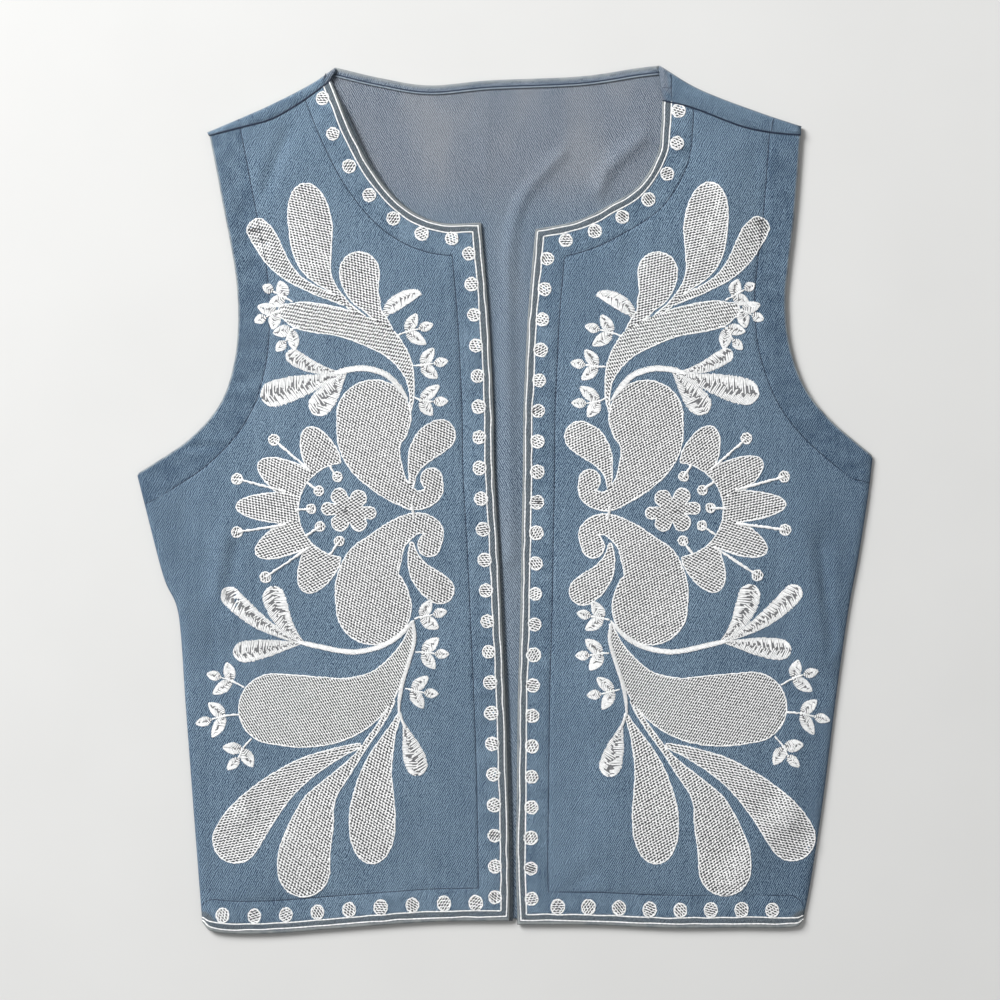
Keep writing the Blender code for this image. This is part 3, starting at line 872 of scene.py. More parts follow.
# Half daisy between the paisleys: petals that grow together at a ring, stamens, and a rosette inside
DaisyPetal = namedtuple("DaisyPetal", "degrees reach width rows")
Lobe = namedtuple("Lobe", "degrees reach width")
DAISY_CENTRE = np.array([-44.7, 0.0])
DAISY_RING = (31.5, 35.0)
DAISY_SPAN = (96, 264)
DAISY_OVERLAP = 0.5
DAISY_PETALS = (
    DaisyPetal(115, 60.5, 24.0, -36),
    DaisyPetal(151.5, 66.0, 24.0, -26),
    DaisyPetal(178, 73.0, 21.0, -12),
    DaisyPetal(206, 66.5, 22.5, 18),
    DaisyPetal(243.5, 61.0, 25.5, 26),
)
OUTER_STAMENS = (
    ((-68.0, 25.9), (-92.5, 46.7)),
    ((-84.5, 12.3), (-117.0, 20.7)),
    ((-84.5, -9.8), (-117.0, -14.7)),
    ((-69.0, -24.8), (-98.0, -44.7)),
)
INNER_STAMENS = (
    ((-55.6, 29.7), (-50.2, 22.1)),
    ((-70.6, 18.4), (-62.5, 12.7)),
    ((-78.0, 0.2), (-67.6, 0.8)),
    ((-71.2, -17.4), (-61.7, -10.9)),
    ((-55.7, -30.4), (-49.0, -20.8)),
)
ROSETTE_CENTRE = np.array([-42.3, 0.0])
ROSETTE_ROWS = 30
ROSETTE = (
    Lobe(-8, 14.0, 8.0),
    Lobe(52, 9.8, 10.8),
    Lobe(126, 11.2, 10.4),
    Lobe(177, 14.5, 8.0),
    Lobe(234, 10.4, 11.2),
    Lobe(306, 10.8, 10.4),
)
LOBE_STEPS = ((0, 0.55), (0.55, 0.8), (1, 1))

SATIN_PETALS = (
    Petal((-47.0, 91.2), (-84.3, 103.6), 10.2, 2.4),
    Petal((-48.0, 90.2), (-100.8, 75.2), 17.8),
    Petal((-44.5, 91.8), (-66.4, 64.4), 16.0),
    Petal((-74.5, -88.4), (-126.6, -54.0), 12.8, 3.4),
    Petal((-73.0, -88.0), (-96.4, -52.0), 15.0, 3.2),
    Petal((-74.0, -88.4), (-119.2, -95.4), 14.2),
    Petal((-6.0, -142.0), (4.6, -176.2), 14.8),
)
PETAL_STEPS = ((0, 0.1), (0.25, 0.4), (0.55, 0.78), (0.82, 0.98), (1, 1))
HALF_MOON = Petal((-17.0, 128.2), (5.8, 143.2), 9.6, 1.0)
HALF_MOON_FULLNESS = 0.4
LEAF_FULLNESS = 0.72
SPRIGS = (
    Sprig((-11.1, 116.1), (-4.5, 118.5), (2.6, 130.7), (8.6, 110.5), (3.8, 120.8), (13.3, 123.6)),
    Sprig((0.2, 96.2), (5.6, 96.4), (13.7, 107.7), (16.3, 87.9), (13.9, 97.6), (23.2, 99.4)),
    Sprig((0.2, 75.6), (5.0, 73.2), (17.5, 83.1), (12.7, 63.1), (13.7, 72.0), (23.2, 72.6)),
    Sprig((-80.1, 138.7), (-85.1, 141.4), (-88.7, 152.4), (-95.8, 136.7), (-93.2, 145.8), (-99.8, 149.4)),
    Sprig((-85.3, 133.6), (-90.8, 132.1), (-103.4, 135.7), (-93.4, 120.5), (-98.0, 128.7), (-105.4, 125.6)),
    Sprig((-75.4, 121.4), (-80.7, 120.3), (-93.0, 117.9), (-78.7, 106.5), (-84.9, 112.5), (-90.8, 106.0)),
    Sprig((1.0, -72.4), (5.1, -71.5), (12.2, -60.0), (17.0, -78.7), (13.4, -69.7), (22.4, -67.3)),
    Sprig((1.6, -94.5), (6.3, -94.7), (17.0, -85.3), (14.6, -105.5), (14.6, -95.7), (23.9, -95.9)),
    Sprig((-5.0, -118.6), (-0.8, -119.7), (10.1, -110.8), (6.9, -131.7), (7.5, -121.5), (16.8, -122.4)),
    Sprig(
        (-112.2, -118.0), (-120.5, -113.8), (-124.0, -101.7),
        (-133.0, -122.4), (-127.6, -111.4), (-137.2, -109.1),
    ),
    Sprig(
        (-115.7, -136.2), (-125.2, -137.0), (-136.0, -128.7),
        (-133.6, -151.3), (-134.2, -139.4), (-144.6, -142.4),
    ),
    Sprig(
        (-107.4, -151.9), (-113.4, -159.1), (-126.4, -157.9),
        (-106.8, -170.9), (-115.7, -165.0), (-123.4, -172.7),
    ),
)
SIDE_LEAF_WIDTH = 7.9
END_LEAF_WIDTH = 6.3
STEMS = (
    Stem(3.8, ((-51.6, 91.2), (-42.0, 93.6), (-30.7, 94.2), (-18.2, 90.4), (-10.2, 83.0), (-3.6, 74.0))),
    Stem(
        3.3,
        (
            (-75.8, -87.9), (-61.6, -90.9), (-48.4, -93.6), (-36.6, -94.2),
            (-21.1, -90.6), (-9.2, -83.5), (-0.2, -73.9),
        ),
    ),
    Stem(2.4, ((0.1, -75.0), (1.0, -86.4), (-2.6, -100.7), (-6.6, -113.8), (-8.8, -125.7), (-9.2, -134.5))),
    Stem(1.6, ((-9.2, -134.0), (-6.5, -141.5), (-5.0, -145.0))),
    Stem(1.6, ((-0.7, 3.0), (0.7, -5.0))),
)

# Stitches, and how far each kind departs from an even run
FILL_WIDTH = 0.73
FILL_HEIGHT = 0.45
FILL_LIFT = 0.05
FILL_LEAST = 0.06
FILL_SPREAD = (0.5, 1.5)
ROW_JITTER = 0.07
PHASE_JITTER = 0.8
WAVE_STATIONS = 5
SHORTEST_ROW = 0.5
UNDERLAY = 0.12
UNDERLAY_SPACING = 5.0
OUTLINE_STEP = 0.75
PROFILE_STEPS = 12
PROFILE_SPACING = 0.8
CAP_POINTS = 13
LEAST_HALF = 0.2
ROPE = Stitch(0.9, 0.45, 0.1, 0.6)
SPRIG_ROPE = Stitch(1.3, 0.7, 0.1, 0.6)
STAMEN_ROPE = Stitch(1.7, 0.8, 0.3, 0.6)
DOT_ROPE = Stitch(0.95, 0.55, 0.1, 0.6)
ROPE_STEP = 1.0
ROPE_TEETH = (0.6, 1.25)
ROPE_JITTER = 0.13
STEM_STITCH = Stitch(0.85, 0.6, 0.3, 0.8)
STEM_SLANT = 1.1
STEM_TAPER = ((0, 0.07, 0.85, 1), (0.55, 1, 1, 0.4))
STEM_REACH = (0.88, 1.12)
SATIN_STITCH = Stitch(0.9, 0.5, 0.1, 0.8)
SATIN_START = 0.4
SATIN_SPACING = 0.98
SATIN_REACH = (0.94, 1.05)
SATIN_GROUND = 0.9
LEAF_SATIN = (0.2, (-0.25, 0.45), 0.6)
PETAL_SATIN = (0.48, (0.0, 0.66), 0.4)
LEAF_POINTS = 21
LEAF_LEAN = 0.85
LEAF_LEAST = 0.15
LEAF_SIZES = (0.93, 1.07)
SPRIG_STEPS = 6
DAISY_EDGE_POINTS = 61
STAMEN_DOT = 3.9
INNER_DOT = 3.5
STAMEN_ROWS = 35
STAMEN_ROWS_TURN = 20
EDGE_DOT = 4.7
EDGE_DOT_SIZES = (0.96, 1.04)
EDGE_DOT_ROWS = (-60, 60)
DOT_POINTS = 29
DOT_FILL_INSET = 0.2
DOT_ROPE_INSET = 0.4
NAVY_RUN = (2.7, 0.3)
NAVY_STITCH = Stitch(0.7, 0.3, 0.0, 0.7)
NAVY_SLIT = Stitch(0.4, 0.1, 0.5, 0.7)
SEAM_THREAD = Stitch(1.0, 0.4, 0.45)
SEAM_STEP = 2.0
NECK_DARK = Stitch(0.8, 0.15)
NECK_PALE = Stitch(0.8, 0.25)
NECK_STEP = 1.5
TAB_LINES = (
    ((110.7, 283.0), (111.0, 267.0)),
    ((104.8, 274.6), (111.0, 274.0)),
    ((-119.3, 284.0), (-121.5, 277.5)),
    ((178.8, 253.4), (177.6, 245.8)),
)
WHITE_THREAD = Stitch(0.92, 0.5, 0.05, 1.0)
WHITE_STEP = 1.05
WHITE_STEPS = 3
WHITE_WAIST = 0.7
WHITE_DRIFT = 0.36
WHITE_DRIFT_SIZE = 9.0


def profile(stations, head=1.0):
    """Middle line and half widths of a motif, with a cap on both ends; head stretches the last cap."""
    path = spaced(smooth_line(stations, PROFILE_STEPS), PROFILE_SPACING)
    middle, half = path[:, :2], np.maximum(path[:, 2] / 2, LEAST_HALF)
    along = directions(middle)
    turns = np.linspace(0, math.pi / 2, CAP_POINTS)[1:]
    for last in (False, True):
        end, heading, radius = (middle[-1], along[-1], half[-1]) if last else (middle[0], -along[0], half[0])
        cap = end + np.outer(np.sin(turns) * radius * (head if last else 1), heading)
        caps = np.cos(turns) * radius
        if last:
            middle, half = np.vstack([middle, cap]), np.concatenate([half, caps])
        else:
            middle, half = np.vstack([cap[::-1], middle]), np.concatenate([caps[::-1], half])
    return middle, half


def outline_of(middle, half):
    sideways = quarter_turn(directions(middle)) * half[:, None]
    return np.vstack([middle + sideways, (middle - sideways)[-2:0:-1]])


def inside(points, outline):
    """Whether each point lies inside a closed outline."""
    after = np.roll(outline, -1, axis=0)
    rise = after[:, 1] - outline[:, 1]
    slope = (after[:, 0] - outline[:, 0]) / np.where(rise == 0, 1, rise)
    x, y = points[:, :1], points[:, 1:]
    crossed = (outline[:, 1] > y) != (after[:, 1] > y)
    beyond = x < outline[:, 0] + (y - outline[:, 1]) * slope
    return (crossed & beyond).sum(1) % 2 == 1


def spans(outline, level):
    """Where a level line runs inside an outline, as pairs of a start and an end."""
    after = np.roll(outline, -1, axis=0)
    crossed = (outline[:, 1] > level) != (after[:, 1] > level)
    a, b = outline[crossed], after[crossed]
    ends = np.sort(a[:, 0] + (level - a[:, 1]) / (b[:, 1] - a[:, 1]) * (b[:, 0] - a[:, 0]))
    return list(zip(ends[::2], ends[1::2]))


def without(pieces, cuts):
    """Pieces of a line that are left once the cuts are taken out."""
    for low, high in cuts:
        halves = [half for a, b in pieces for half in ((a, min(b, low)), (max(a, high), b))]
        pieces = [(a, b) for a, b in halves if b - a > SHORTEST_ROW]
    return pieces


class Embroidery:
    """A group of motifs as two meshes: light thread, and the underlay that shows between, in grey as painted
    shade.
    """

    def __init__(self, front):
        self.light, self.dark = Sewing(front.ungrooved), Sewing(front.ungrooved)
        self.front = front
        self.random = np.random.default_rng(front.seed)
        self.flip = -1 if front.side == "left" else 1
        self.taken = []

    def place(self, points):
        """Motif coordinates to the part's frame, mirrored and tilted on the left front."""
        points = np.asarray(points, float)
        tilt = TILT[self.front.side]
        x, y = points[..., 0] * self.flip, points[..., 1]
        across = x * math.cos(tilt) - y * math.sin(tilt)
        up = x * math.sin(tilt) + y * math.cos(tilt)
        return np.stack([across, up], axis=-1) + np.array(MEETING[self.front.side])

    def rope(self, line, stitch=ROPE):
        """Line of short slanting stitches, seen as a thread with a serrated edge."""
        line = spaced(line, ROPE_STEP)
        teeth = self.random.uniform(*ROPE_TEETH, len(line))
        line = line + quarter_turn(directions(line)) * self.random.normal(0, ROPE_JITTER, (len(line), 1))
        self.light.thread(line, stitch, teeth)

    def fill(self, outline, degrees, fill=WAVY):
        """Rows of thread across an outline, with openings between them on a slanting lattice."""
        angle = math.radians(degrees) * self.flip
        turn = np.array([[math.cos(angle), -math.sin(angle)], [math.sin(angle), math.cos(angle)]])
        turned = outline @ turn
        earlier = [other @ turn for other in self.taken]
        low, high = turned[:, 1].min(), turned[:, 1].max()
        for k in range(math.ceil(low / fill.pitch), math.floor(high / fill.pitch) + 1):
            level = k * fill.pitch
            cuts = [cut for other in earlier for cut in spans(other, level)]
            for start, end in without(spans(turned, level), cuts):
                phase = math.tau * fill.shift * k * self.flip
                self.row(start, end, level, phase, turn, fill)

    def row(self, start, end, level, phase, turn, fill):
        count = max(2, round((end - start) / fill.wave * WAVE_STATIONS) + 1)
        x = np.linspace(start, end, count)
        y = level + fill.pitch * self.random.normal(0, ROW_JITTER, count)
        here = math.tau * x / fill.wave + phase + self.random.uniform(-PHASE_JITTER, PHASE_JITTER)
        before = here - math.tau * fill.shift * self.flip
        opening = np.minimum(np.cos(np.stack([here, before], axis=1)) + fill.lean, 1)
        opening *= self.random.uniform(*FILL_SPREAD, (count, 2))
        widths = np.maximum(FILL_WIDTH - fill.opening * opening, FILL_LEAST)
        stitch = Stitch(fill.pitch, FILL_HEIGHT, FILL_LIFT)
        self.light.thread(np.stack([x, y], axis=1) @ turn.T, stitch, widths)

    def filled(self, outline, degrees, fill=WAVY):
        """A motif filled with wavy rows over an underlay; motifs that overlap grow into one."""
        self.dark.plate(outline, UNDERLAY, UNDERLAY_SPACING)
        self.fill(outline, degrees, fill)
        self.taken.append(outline)

    def rope_round_all(self):
        """Rope along the outlines of the filled motifs, except inside another of them."""
        for k, outline in enumerate(self.taken):
            line = spaced(np.vstack([outline, outline[:1]]), OUTLINE_STEP)
            hidden = np.zeros(len(line), bool)
            for other in self.taken[:k] + self.taken[k + 1 :]:
                hidden |= inside(line, other)
            breaks = np.flatnonzero(np.diff(hidden)) + 1
            for run, gone in zip(np.split(line, breaks), np.split(hidden, breaks)):
                if not gone[0] and len(run) > 2:
                    self.rope(run)

    def dot(self, centre, radius, degrees, squash=1.0):
        """Round dot of short wavy rows."""
        around = np.linspace(0, 2 * math.pi, DOT_POINTS)
        ring = np.stack([np.cos(around), np.sin(around) * squash], axis=1)
        self.dark.plate(centre + ring[:-1] * radius, UNDERLAY, UNDERLAY_SPACING)
        self.fill(centre + ring[:-1] * (radius - DOT_FILL_INSET), degrees, DOTTED)
        self.rope(centre + ring * (radius - DOT_ROPE_INSET), DOT_ROPE)

    def satin(self, middle, half, spread, gap, slant):
        """Stitches across a shape, each broken near the middle by a gap that shows the ground plate, whose
        grey is painted shade.
        """
        self.dark.plate(outline_of(middle, half * SATIN_GROUND), UNDERLAY, UNDERLAY_SPACING)
        so_far = lengths_along(middle)
        places = np.arange(SATIN_START, so_far[-1], SATIN_SPACING)
        points, widths = at_lengths(middle, places), np.interp(places, so_far, half)
        along = directions(points)
        sideways = quarter_turn(along)
        centre = self.random.uniform(-spread, spread, len(places))
        opening = self.random.uniform(*gap, len(places)) / 2
        for sign in (1, -1):
            far = sign * self.random.uniform(*SATIN_REACH, len(places))
            ends = []
            for share in (far, centre + sign * opening):
                forward = slant * widths * (1 - np.abs(share))
                ends.append(points + sideways * (widths * share)[:, None] + along * forward[:, None])
            self.light.threads(straight(*ends), SATIN_STITCH)

    def stem(self, line, width):
        """Stem of cross stitches packed side by side."""
        line = spaced(line, SATIN_SPACING)
        along = directions(line)
        half = width / 2 * np.interp(np.linspace(0, 1, len(line)), *STEM_TAPER)
        reach = quarter_turn(along) * (half * self.random.uniform(*STEM_REACH, len(line)))[:, None]
        slant = along * STEM_SLANT
        self.light.threads(straight(line + reach - slant, line - reach + slant), STEM_STITCH)

    def leaf(self, base, tip, width, bend=0.0, fullness=LEAF_FULLNESS):
        """Satin leaf; with a bend of 1 one side is straight and the other bulges."""
        base, tip = np.asarray(base), np.asarray(tip)
        shares = np.linspace(0, 1, LEAF_POINTS)
        run = (tip - base) / np.linalg.norm(tip - base)
        half = width / 2 * np.sin(math.pi * shares**LEAF_LEAN) ** fullness + LEAF_LEAST
        aside = np.outer(half * bend * self.flip, quarter_turn(run))
        self.satin(base + np.outer(shares, tip - base) + aside, half, *LEAF_SATIN)

    def sprig(self, sprig):
        """Stem with two side leaves at its node and a smaller leaf on its end."""
        stem = smooth_line([sprig.root, sprig.node, sprig.base], SPRIG_STEPS)
        self.rope(self.place(stem), SPRIG_ROPE)
        for tip in (sprig.first, sprig.second):
            width = SIDE_LEAF_WIDTH * self.random.uniform(*LEAF_SIZES)
            self.leaf(self.place(sprig.node), self.place(tip), width)
        self.leaf(self.place(sprig.base), self.place(sprig.tip), END_LEAF_WIDTH)

    def petal(self, petal):
        """Long satin petal with a round head."""
        base, tip = np.array(petal.base), np.array(petal.tip)
        run = (tip - base) / np.linalg.norm(tip - base)
        head = tip - run * petal.width / 2
        aside = quarter_turn(run) * petal.bend
        middles = [base + (head - base) * r + aside * math.sin(math.pi * r) for r, _ in PETAL_STEPS]
        stations = [(*middle, petal.width * share) for middle, (_, share) in zip(middles, PETAL_STEPS)]
        middle, half = profile(stations)
        self.satin(self.place(middle), half, *PETAL_SATIN)


def daisy_edge(degrees):
    """Distance of the daisy's edge from its centre in each direction: half ellipses on a ring."""
    edge = np.full(len(degrees), DAISY_RING[1])
    turn = np.linspace(-math.pi / 2, math.pi / 2, DAISY_EDGE_POINTS)
    for petal in DAISY_PETALS:
        out = DAISY_RING[1] + (petal.reach - DAISY_RING[1]) * np.cos(turn)
        aside = petal.width / 2 * np.sin(turn)
        around = petal.degrees + np.degrees(np.arctan2(aside, out))
        edge = np.maximum(edge, np.interp(degrees, around, np.hypot(out, aside), left=0, right=0))
    return edge


def daisy_sector(first, last):
    """Outline of the daisy between two directions, from its ring to its edge."""
    degrees = np.linspace(first, last, round(last - first) + 1)
    around = np.radians(degrees)
    rays = np.stack([np.cos(around), np.sin(around)], axis=1)
    return DAISY_CENTRE + np.vstack([rays * DAISY_RING[0], (rays * daisy_edge(degrees)[:, None])[::-1]])


def embroider_daisy(work):
    """Petals filled each at its own angle and roped round as one, the rosette, and the stamens."""
    between = [(petal.degrees + after.degrees) / 2 for petal, after in zip(DAISY_PETALS, DAISY_PETALS[1:])]
    stops = [DAISY_SPAN[0], *between, DAISY_SPAN[1]]
    for petal, first, last in zip(DAISY_PETALS, stops, stops[1:]):
        sector = work.place(daisy_sector(first - DAISY_OVERLAP, last + DAISY_OVERLAP))
        work.dark.plate(sector, UNDERLAY, UNDERLAY_SPACING)
        work.fill(sector, petal.rows)
    work.taken.append(work.place(daisy_sector(*DAISY_SPAN)))
    for lobe in ROSETTE:
        angle = math.radians(lobe.degrees)
        out = np.array([math.cos(angle), math.sin(angle)]) * lobe.reach
        stations = [(*(ROSETTE_CENTRE + out * r), lobe.width * share) for r, share in LOBE_STEPS]
        work.filled(work.place(outline_of(*profile(stations))), ROSETTE_ROWS)
    work.rope_round_all()
    work.taken = []
    for stamens, radius in ((OUTER_STAMENS, STAMEN_DOT), (INNER_STAMENS, INNER_DOT)):
        for k, ends in enumerate(stamens):
            work.rope(work.place(np.array(ends)), STAMEN_ROPE)
            work.dot(work.place(ends[1]), radius, STAMEN_ROWS + STAMEN_ROWS_TURN * k)


def embroider(front, group):
    """Light and dark sewing of one group of motifs on a front."""
    work = Embroidery(front)
    for motif in MOTIFS:
        if motif.group == group:
            work.filled(work.place(outline_of(*profile(motif.stations, motif.head))), motif.angle, motif.fill)
    if group == "middle":
        embroider_daisy(work)
    else:
        work.rope_round_all()
    if group == "sprays":
        for stem in STEMS:
            work.stem(work.place(smooth_line(stem.points, FINE_STEPS)), stem.width)
        for petal in SATIN_PETALS:
            work.petal(petal)
        base, tip = work.place(HALF_MOON.base), work.place(HALF_MOON.tip)
        work.leaf(base, tip, HALF_MOON.width, HALF_MOON.bend, HALF_MOON_FULLNESS)
        for sprig in SPRIGS:
            work.sprig(sprig)
    return work


# Dots along the neckline, opening and hem: how many, and the first and last from the shoulder round
DotRow = namedtuple("DotRow", "count first last inset bow squash crowding")
BOW_LEAD = 0.45
DOT_ROWS = {
    "right": (
        DotRow(7, (-124.3, 266.4), (-35.3, 173.7), 9.7, 2.6, 1.0, 0.117),
        DotRow(22, (-23.5, 163.7), (-7.0, -265.0), 9.7, 0.0, 1.0, 0.0),
        DotRow(9, (-19.7, -272.2), (-188.3, -276.9), 11.0, 0.0, 1.15, 0.0),
    ),
    "left": (
        DotRow(7, (114.7, 259.0), (40.9, 171.8), 10.9, 0.4, 1.0, 0.04),
        DotRow(22, (27.9, 160.3), (17.7, -266.0), 9.7, 0.0, 1.0, 0.0),
        DotRow(8, (35.0, -273.4), (178.1, -274.0), 11.0, 0.0, 1.15, 0.0),
    ),
}


def length_at(line, place):
    """Length along a line up to its point nearest to a place."""
    return lengths_along(line)[np.linalg.norm(line - np.asarray(place), axis=1).argmin()]


def edge_dots(front):
    work = Embroidery(front)
    for run, row in enumerate(DOT_ROWS[front.side]):
        line = front.finished_line(row.inset)[run]
        first, last = length_at(line, row.first), length_at(line, row.last)
        shares = np.linspace(0, 1, row.count)
        shares += row.crowding * shares * (1 - shares)
        centres = at_lengths(line, first + (last - first) * shares)
        for centre in moved_to(centres, row.bow * np.sin(math.pi * shares**BOW_LEAD), front.middle):
            radius = EDGE_DOT * work.random.uniform(*EDGE_DOT_SIZES)
            work.dot(centre, radius, work.random.uniform(*EDGE_DOT_ROWS), row.squash)
    return work


def white_lines(front):
    """Double row of light stitches inside the finished edges."""
    sewing = Sewing(front.relief)
    for k, inset in enumerate(WHITE_LINES):
        for line in front.finished_line(inset):
            drift = WHITE_DRIFT * soft_noise(line, WHITE_DRIFT_SIZE, front.seed + k)
            line = spaced(moved_to(line, drift, front.middle), WHITE_STEP)
            widths = np.where(np.arange(len(line)) % WHITE_STEPS, 1.0, WHITE_WAIST)
            sewing.thread(line, WHITE_THREAD, widths)
    return sewing


def navy_lines(front):
    """Stitch lines that hold down the facings and the hem, over any motif in their way."""
    sewing = Sewing(front.relief)
    placed = Embroidery(front)
    motifs = [placed.place(outline_of(*profile(motif.stations, motif.head))) for motif in MOTIFS]
    for line in (*front.finished_line(BAND), front.armhole_line(BAND)):
        starts, ends = running_stitches(line, *NAVY_RUN)
        over = np.any([inside((starts + ends) / 2, outline) for outline in motifs], axis=0)
        sewing.cloth = front.relief
        sewing.threads(straight(starts[~over], ends[~over]), NAVY_STITCH)
        sewing.cloth = front.ungrooved
        sewing.threads(straight(starts[over], ends[over]), NAVY_SLIT)
    sewing.thread(spaced(front.seam, SEAM_STEP), SEAM_THREAD)
    return sewing


def neck_line(inset, stitch):
    """Line of thread along the hem of the back neck."""
    level = NECK_HEM_LEVEL + FACING / 2 - NECK_HEM_SLOPE * inset
    sewing = Sewing(lambda points: np.full(points.shape[:-1], level))
    line = moved_to(spaced(smooth_line(BACK_NECKLINE, FINE_STEPS), NECK_STEP), inset, (0, 0))
    sewing.thread(trimmed(line, NECK_HEM_END, NECK_HEM_END), stitch)
    return sewing


def tab_lines():
    """Stitches across the shoulder strips: on the tabs by the neck and on the left armhole's line."""
    level = FRONT_LEVEL + CLOTH / 2 + SEAM_PUFF
    sewing = Sewing(lambda points: np.full(points.shape[:-1], level))
    for line in TAB_LINES:
        sewing.threads(straight(*running_stitches(np.array(line), *NAVY_RUN)), NAVY_STITCH)
    return sewing


# Materials
Noise = namedtuple("Noise", "stretch scale detail roughness", defaults=(2.0, 0.5))
Ramp = namedtuple("Ramp", "low high first last", defaults=(0.0, 1.0))
Surface = namedtuple("Surface", "roughness specular sheen", defaults=(0.5, 0.0))
Yarn = namedtuple("Yarn", "dark light sheen", defaults=(0.0,))
EVEN = (1, 1, 1)


class Graph:
    """Short way to add and join the nodes of a material, with places in millimetres."""

    def __init__(self, name):
        self.material = bpy.data.materials.new(name)
        self.material.use_nodes = True
        self.tree = self.material.node_tree
        self.shader = self.tree.nodes["Principled BSDF"]
        self.mm = self.scaled(self.add("ShaderNodeTexCoord").outputs["Object"], (PER_MM,) * 3)

    def add(self, kind, inputs=(), **settings):
        """New node with these settings; inputs are pairs of a socket's name or number and its value."""
        node = self.tree.nodes.new(kind)
        for key, value in settings.items():
            setattr(node, key, value)
        for key, value in inputs:
            self.put(node.inputs[key], value)
        return node

    def put(self, socket, value):
        if isinstance(value, bpy.types.NodeSocket):
            self.tree.links.new(value, socket)
        else:
            socket.default_value = value

    def math(self, operation, *values, clamp=False):
        node = self.add("ShaderNodeMath", enumerate(values), operation=operation, use_clamp=clamp)
        return node.outputs[0]

    def ramp(self, value, ramp):
        """Value from the ramp's low to its high, taken smoothly from its first to its last."""
        sockets = ("From Min", "From Max", "To Min", "To Max")
        pairs = (("Value", value), *zip(sockets, ramp))
        node = self.add("ShaderNodeMapRange", pairs, interpolation_type="SMOOTHSTEP")
        return node.outputs["Result"]

    def mix(self, share, a, b):
        """Colour from a to b; the node keeps colours in its inputs 6 and 7 and its output 2."""
        pairs = ((0, share), (6, a), (7, b))
        return self.add("ShaderNodeMix", pairs, data_type="RGBA").outputs[2]

    def scaled(self, vector, scale):
        node = self.add("ShaderNodeVectorMath", ((0, vector), (1, scale)), operation="MULTIPLY")
        return node.outputs[0]

    def dot(self, vector, direction):
        node = self.add("ShaderNodeVectorMath", ((0, vector), (1, direction)), operation="DOT_PRODUCT")
        return node.outputs["Value"]

    def noise(self, place, noise):
        vector = self.scaled(place, noise.stretch)
        pairs = (("Vector", vector), ("Scale", noise.scale), ("Detail", noise.detail))
        return self.add("ShaderNodeTexNoise", (*pairs, ("Roughness", noise.roughness))).outputs["Fac"]

    def attribute(self, name):
        return self.add("ShaderNodeAttribute", attribute_name=name).outputs["Fac"]

    def bump(self, height, strength, distance):
        pairs = (("Height", height), ("Strength", strength), ("Distance", distance))
        self.put(self.shader.inputs["Normal"], self.add("ShaderNodeBump", pairs).outputs["Normal"])

    def surfaced(self, tint, surface):
        """The material, once it has this colour and surface."""
        self.put(self.shader.inputs["Base Color"], tint)
        self.shader.inputs["Roughness"].default_value = surface.roughness
        self.shader.inputs["Specular IOR Level"].default_value = surface.specular
        self.shader.inputs["Sheen Weight"].default_value = surface.sheen
        return self.material


def colour(red, green, blue):
    """Linear colour with alpha from display values out of 255."""
    values = [v / 255 for v in (red, green, blue)]
    return (*[v / 12.92 if v <= 0.04045 else ((v + 0.055) / 1.055) ** 2.4 for v in values], 1)


FACE = (colour(28, 50, 74), colour(132, 154, 172))
REVERSE = (colour(47, 61, 77), colour(147, 155, 166))
STRIP = (colour(62, 70, 76), colour(108, 113, 115))
WORN_EDGE = colour(150, 154, 153)
REVERSE_WARM = colour(150, 150, 150)
TWILL_PITCH = 1.18
TWILL_DEGREES = 60
FACE_UNEVEN, REVERSE_UNEVEN = 1.0, 0.35
RIB_WOBBLE = Noise((0.4, 0.2, 0), 1.0)
RIB_SWING = 9.0
RIB_SHARE = 0.13
FLOATS = Noise((1.35, 0.7, 0), 1.0, 3.0, 0.75)
WEAVE_TONE = Ramp(0.39, 0.61)
FADE = Noise((1.0, 0.5, 0), 0.022, 3.0)
FADE_TONE = Ramp(0.3, 0.7, -0.05, 0.05)
SLUB = Noise((0.55, 0.014, 0), 1.0)
SLUB_TONE = Ramp(0.25, 0.75, -0.06, 0.06)
MOTTLE = Noise(EVEN, 0.12, 3.0, 0.6)
MOTTLE_TONE = Ramp(0.3, 0.7, -0.13, 0.13)
MOTTLE_SHARE = Ramp(BAND - 2, BAND + 3, 1.0, 0.25)
ARMHOLE_TONE = Ramp(BAND - 1, BAND + 1, -0.17, 0.0)
WARM = Noise((1.0, 0.4, 0), 0.025)
WARM_SHARE = Ramp(0.42, 0.7, 0.0, 0.3)
GREYED = (Ramp(5.2, 7.4, 0.85, 0.0), Ramp(0.2, 0.6, 0.7, 1.0))
BARE = (Ramp(0.2, 1.8, 0.8, 0.0), Ramp(0.3, 0.6, 0.5, 1.0))
FUZZ = Noise(EVEN, 2.2)
FUZZ_SHARE = 0.5
DENIM_BUMP = (0.3, 0.25 * MM)
DENIM_SURFACE = Surface(0.92, 0.15, 0.08)

YARNS = {
    "embroidery_thread": Yarn(colour(218, 219, 219), colour(247, 247, 247), 0.15),
    # Painted shade: dark grey for the white underlay where it shows in shadow between fill rows and in dots
    "shadow_thread": Yarn(colour(46, 47, 50), colour(74, 75, 77)),
    # Painted shade: mid grey for the ground seen in shadow between the satin rungs
    "shaded_satin_ground": Yarn(colour(92, 93, 96), colour(124, 125, 127)),
    "seam_thread": Yarn(colour(22, 32, 50), colour(38, 52, 74)),
    "neck_ridge": Yarn(colour(104, 118, 131), colour(146, 157, 166)),
}
YARN_NOISE = Noise(EVEN, 0.6, 3.0, 0.65)
YARN_TONE = Ramp(0.3, 0.7)
PLY = Noise(EVEN, 3.5)
PLY_BUMP = (0.35, 0.12 * MM)
YARN_ROUGHNESS = 0.6
YARN_SPECULAR = 0.3

FLOOR_NOISE = Noise(EVEN, 0.01, 4.0)
FLOOR_TONES = ((0.6, 0.6, 0.59, 1), (0.64, 0.64, 0.63, 1))
FLOOR_SURFACE = Surface(0.9)


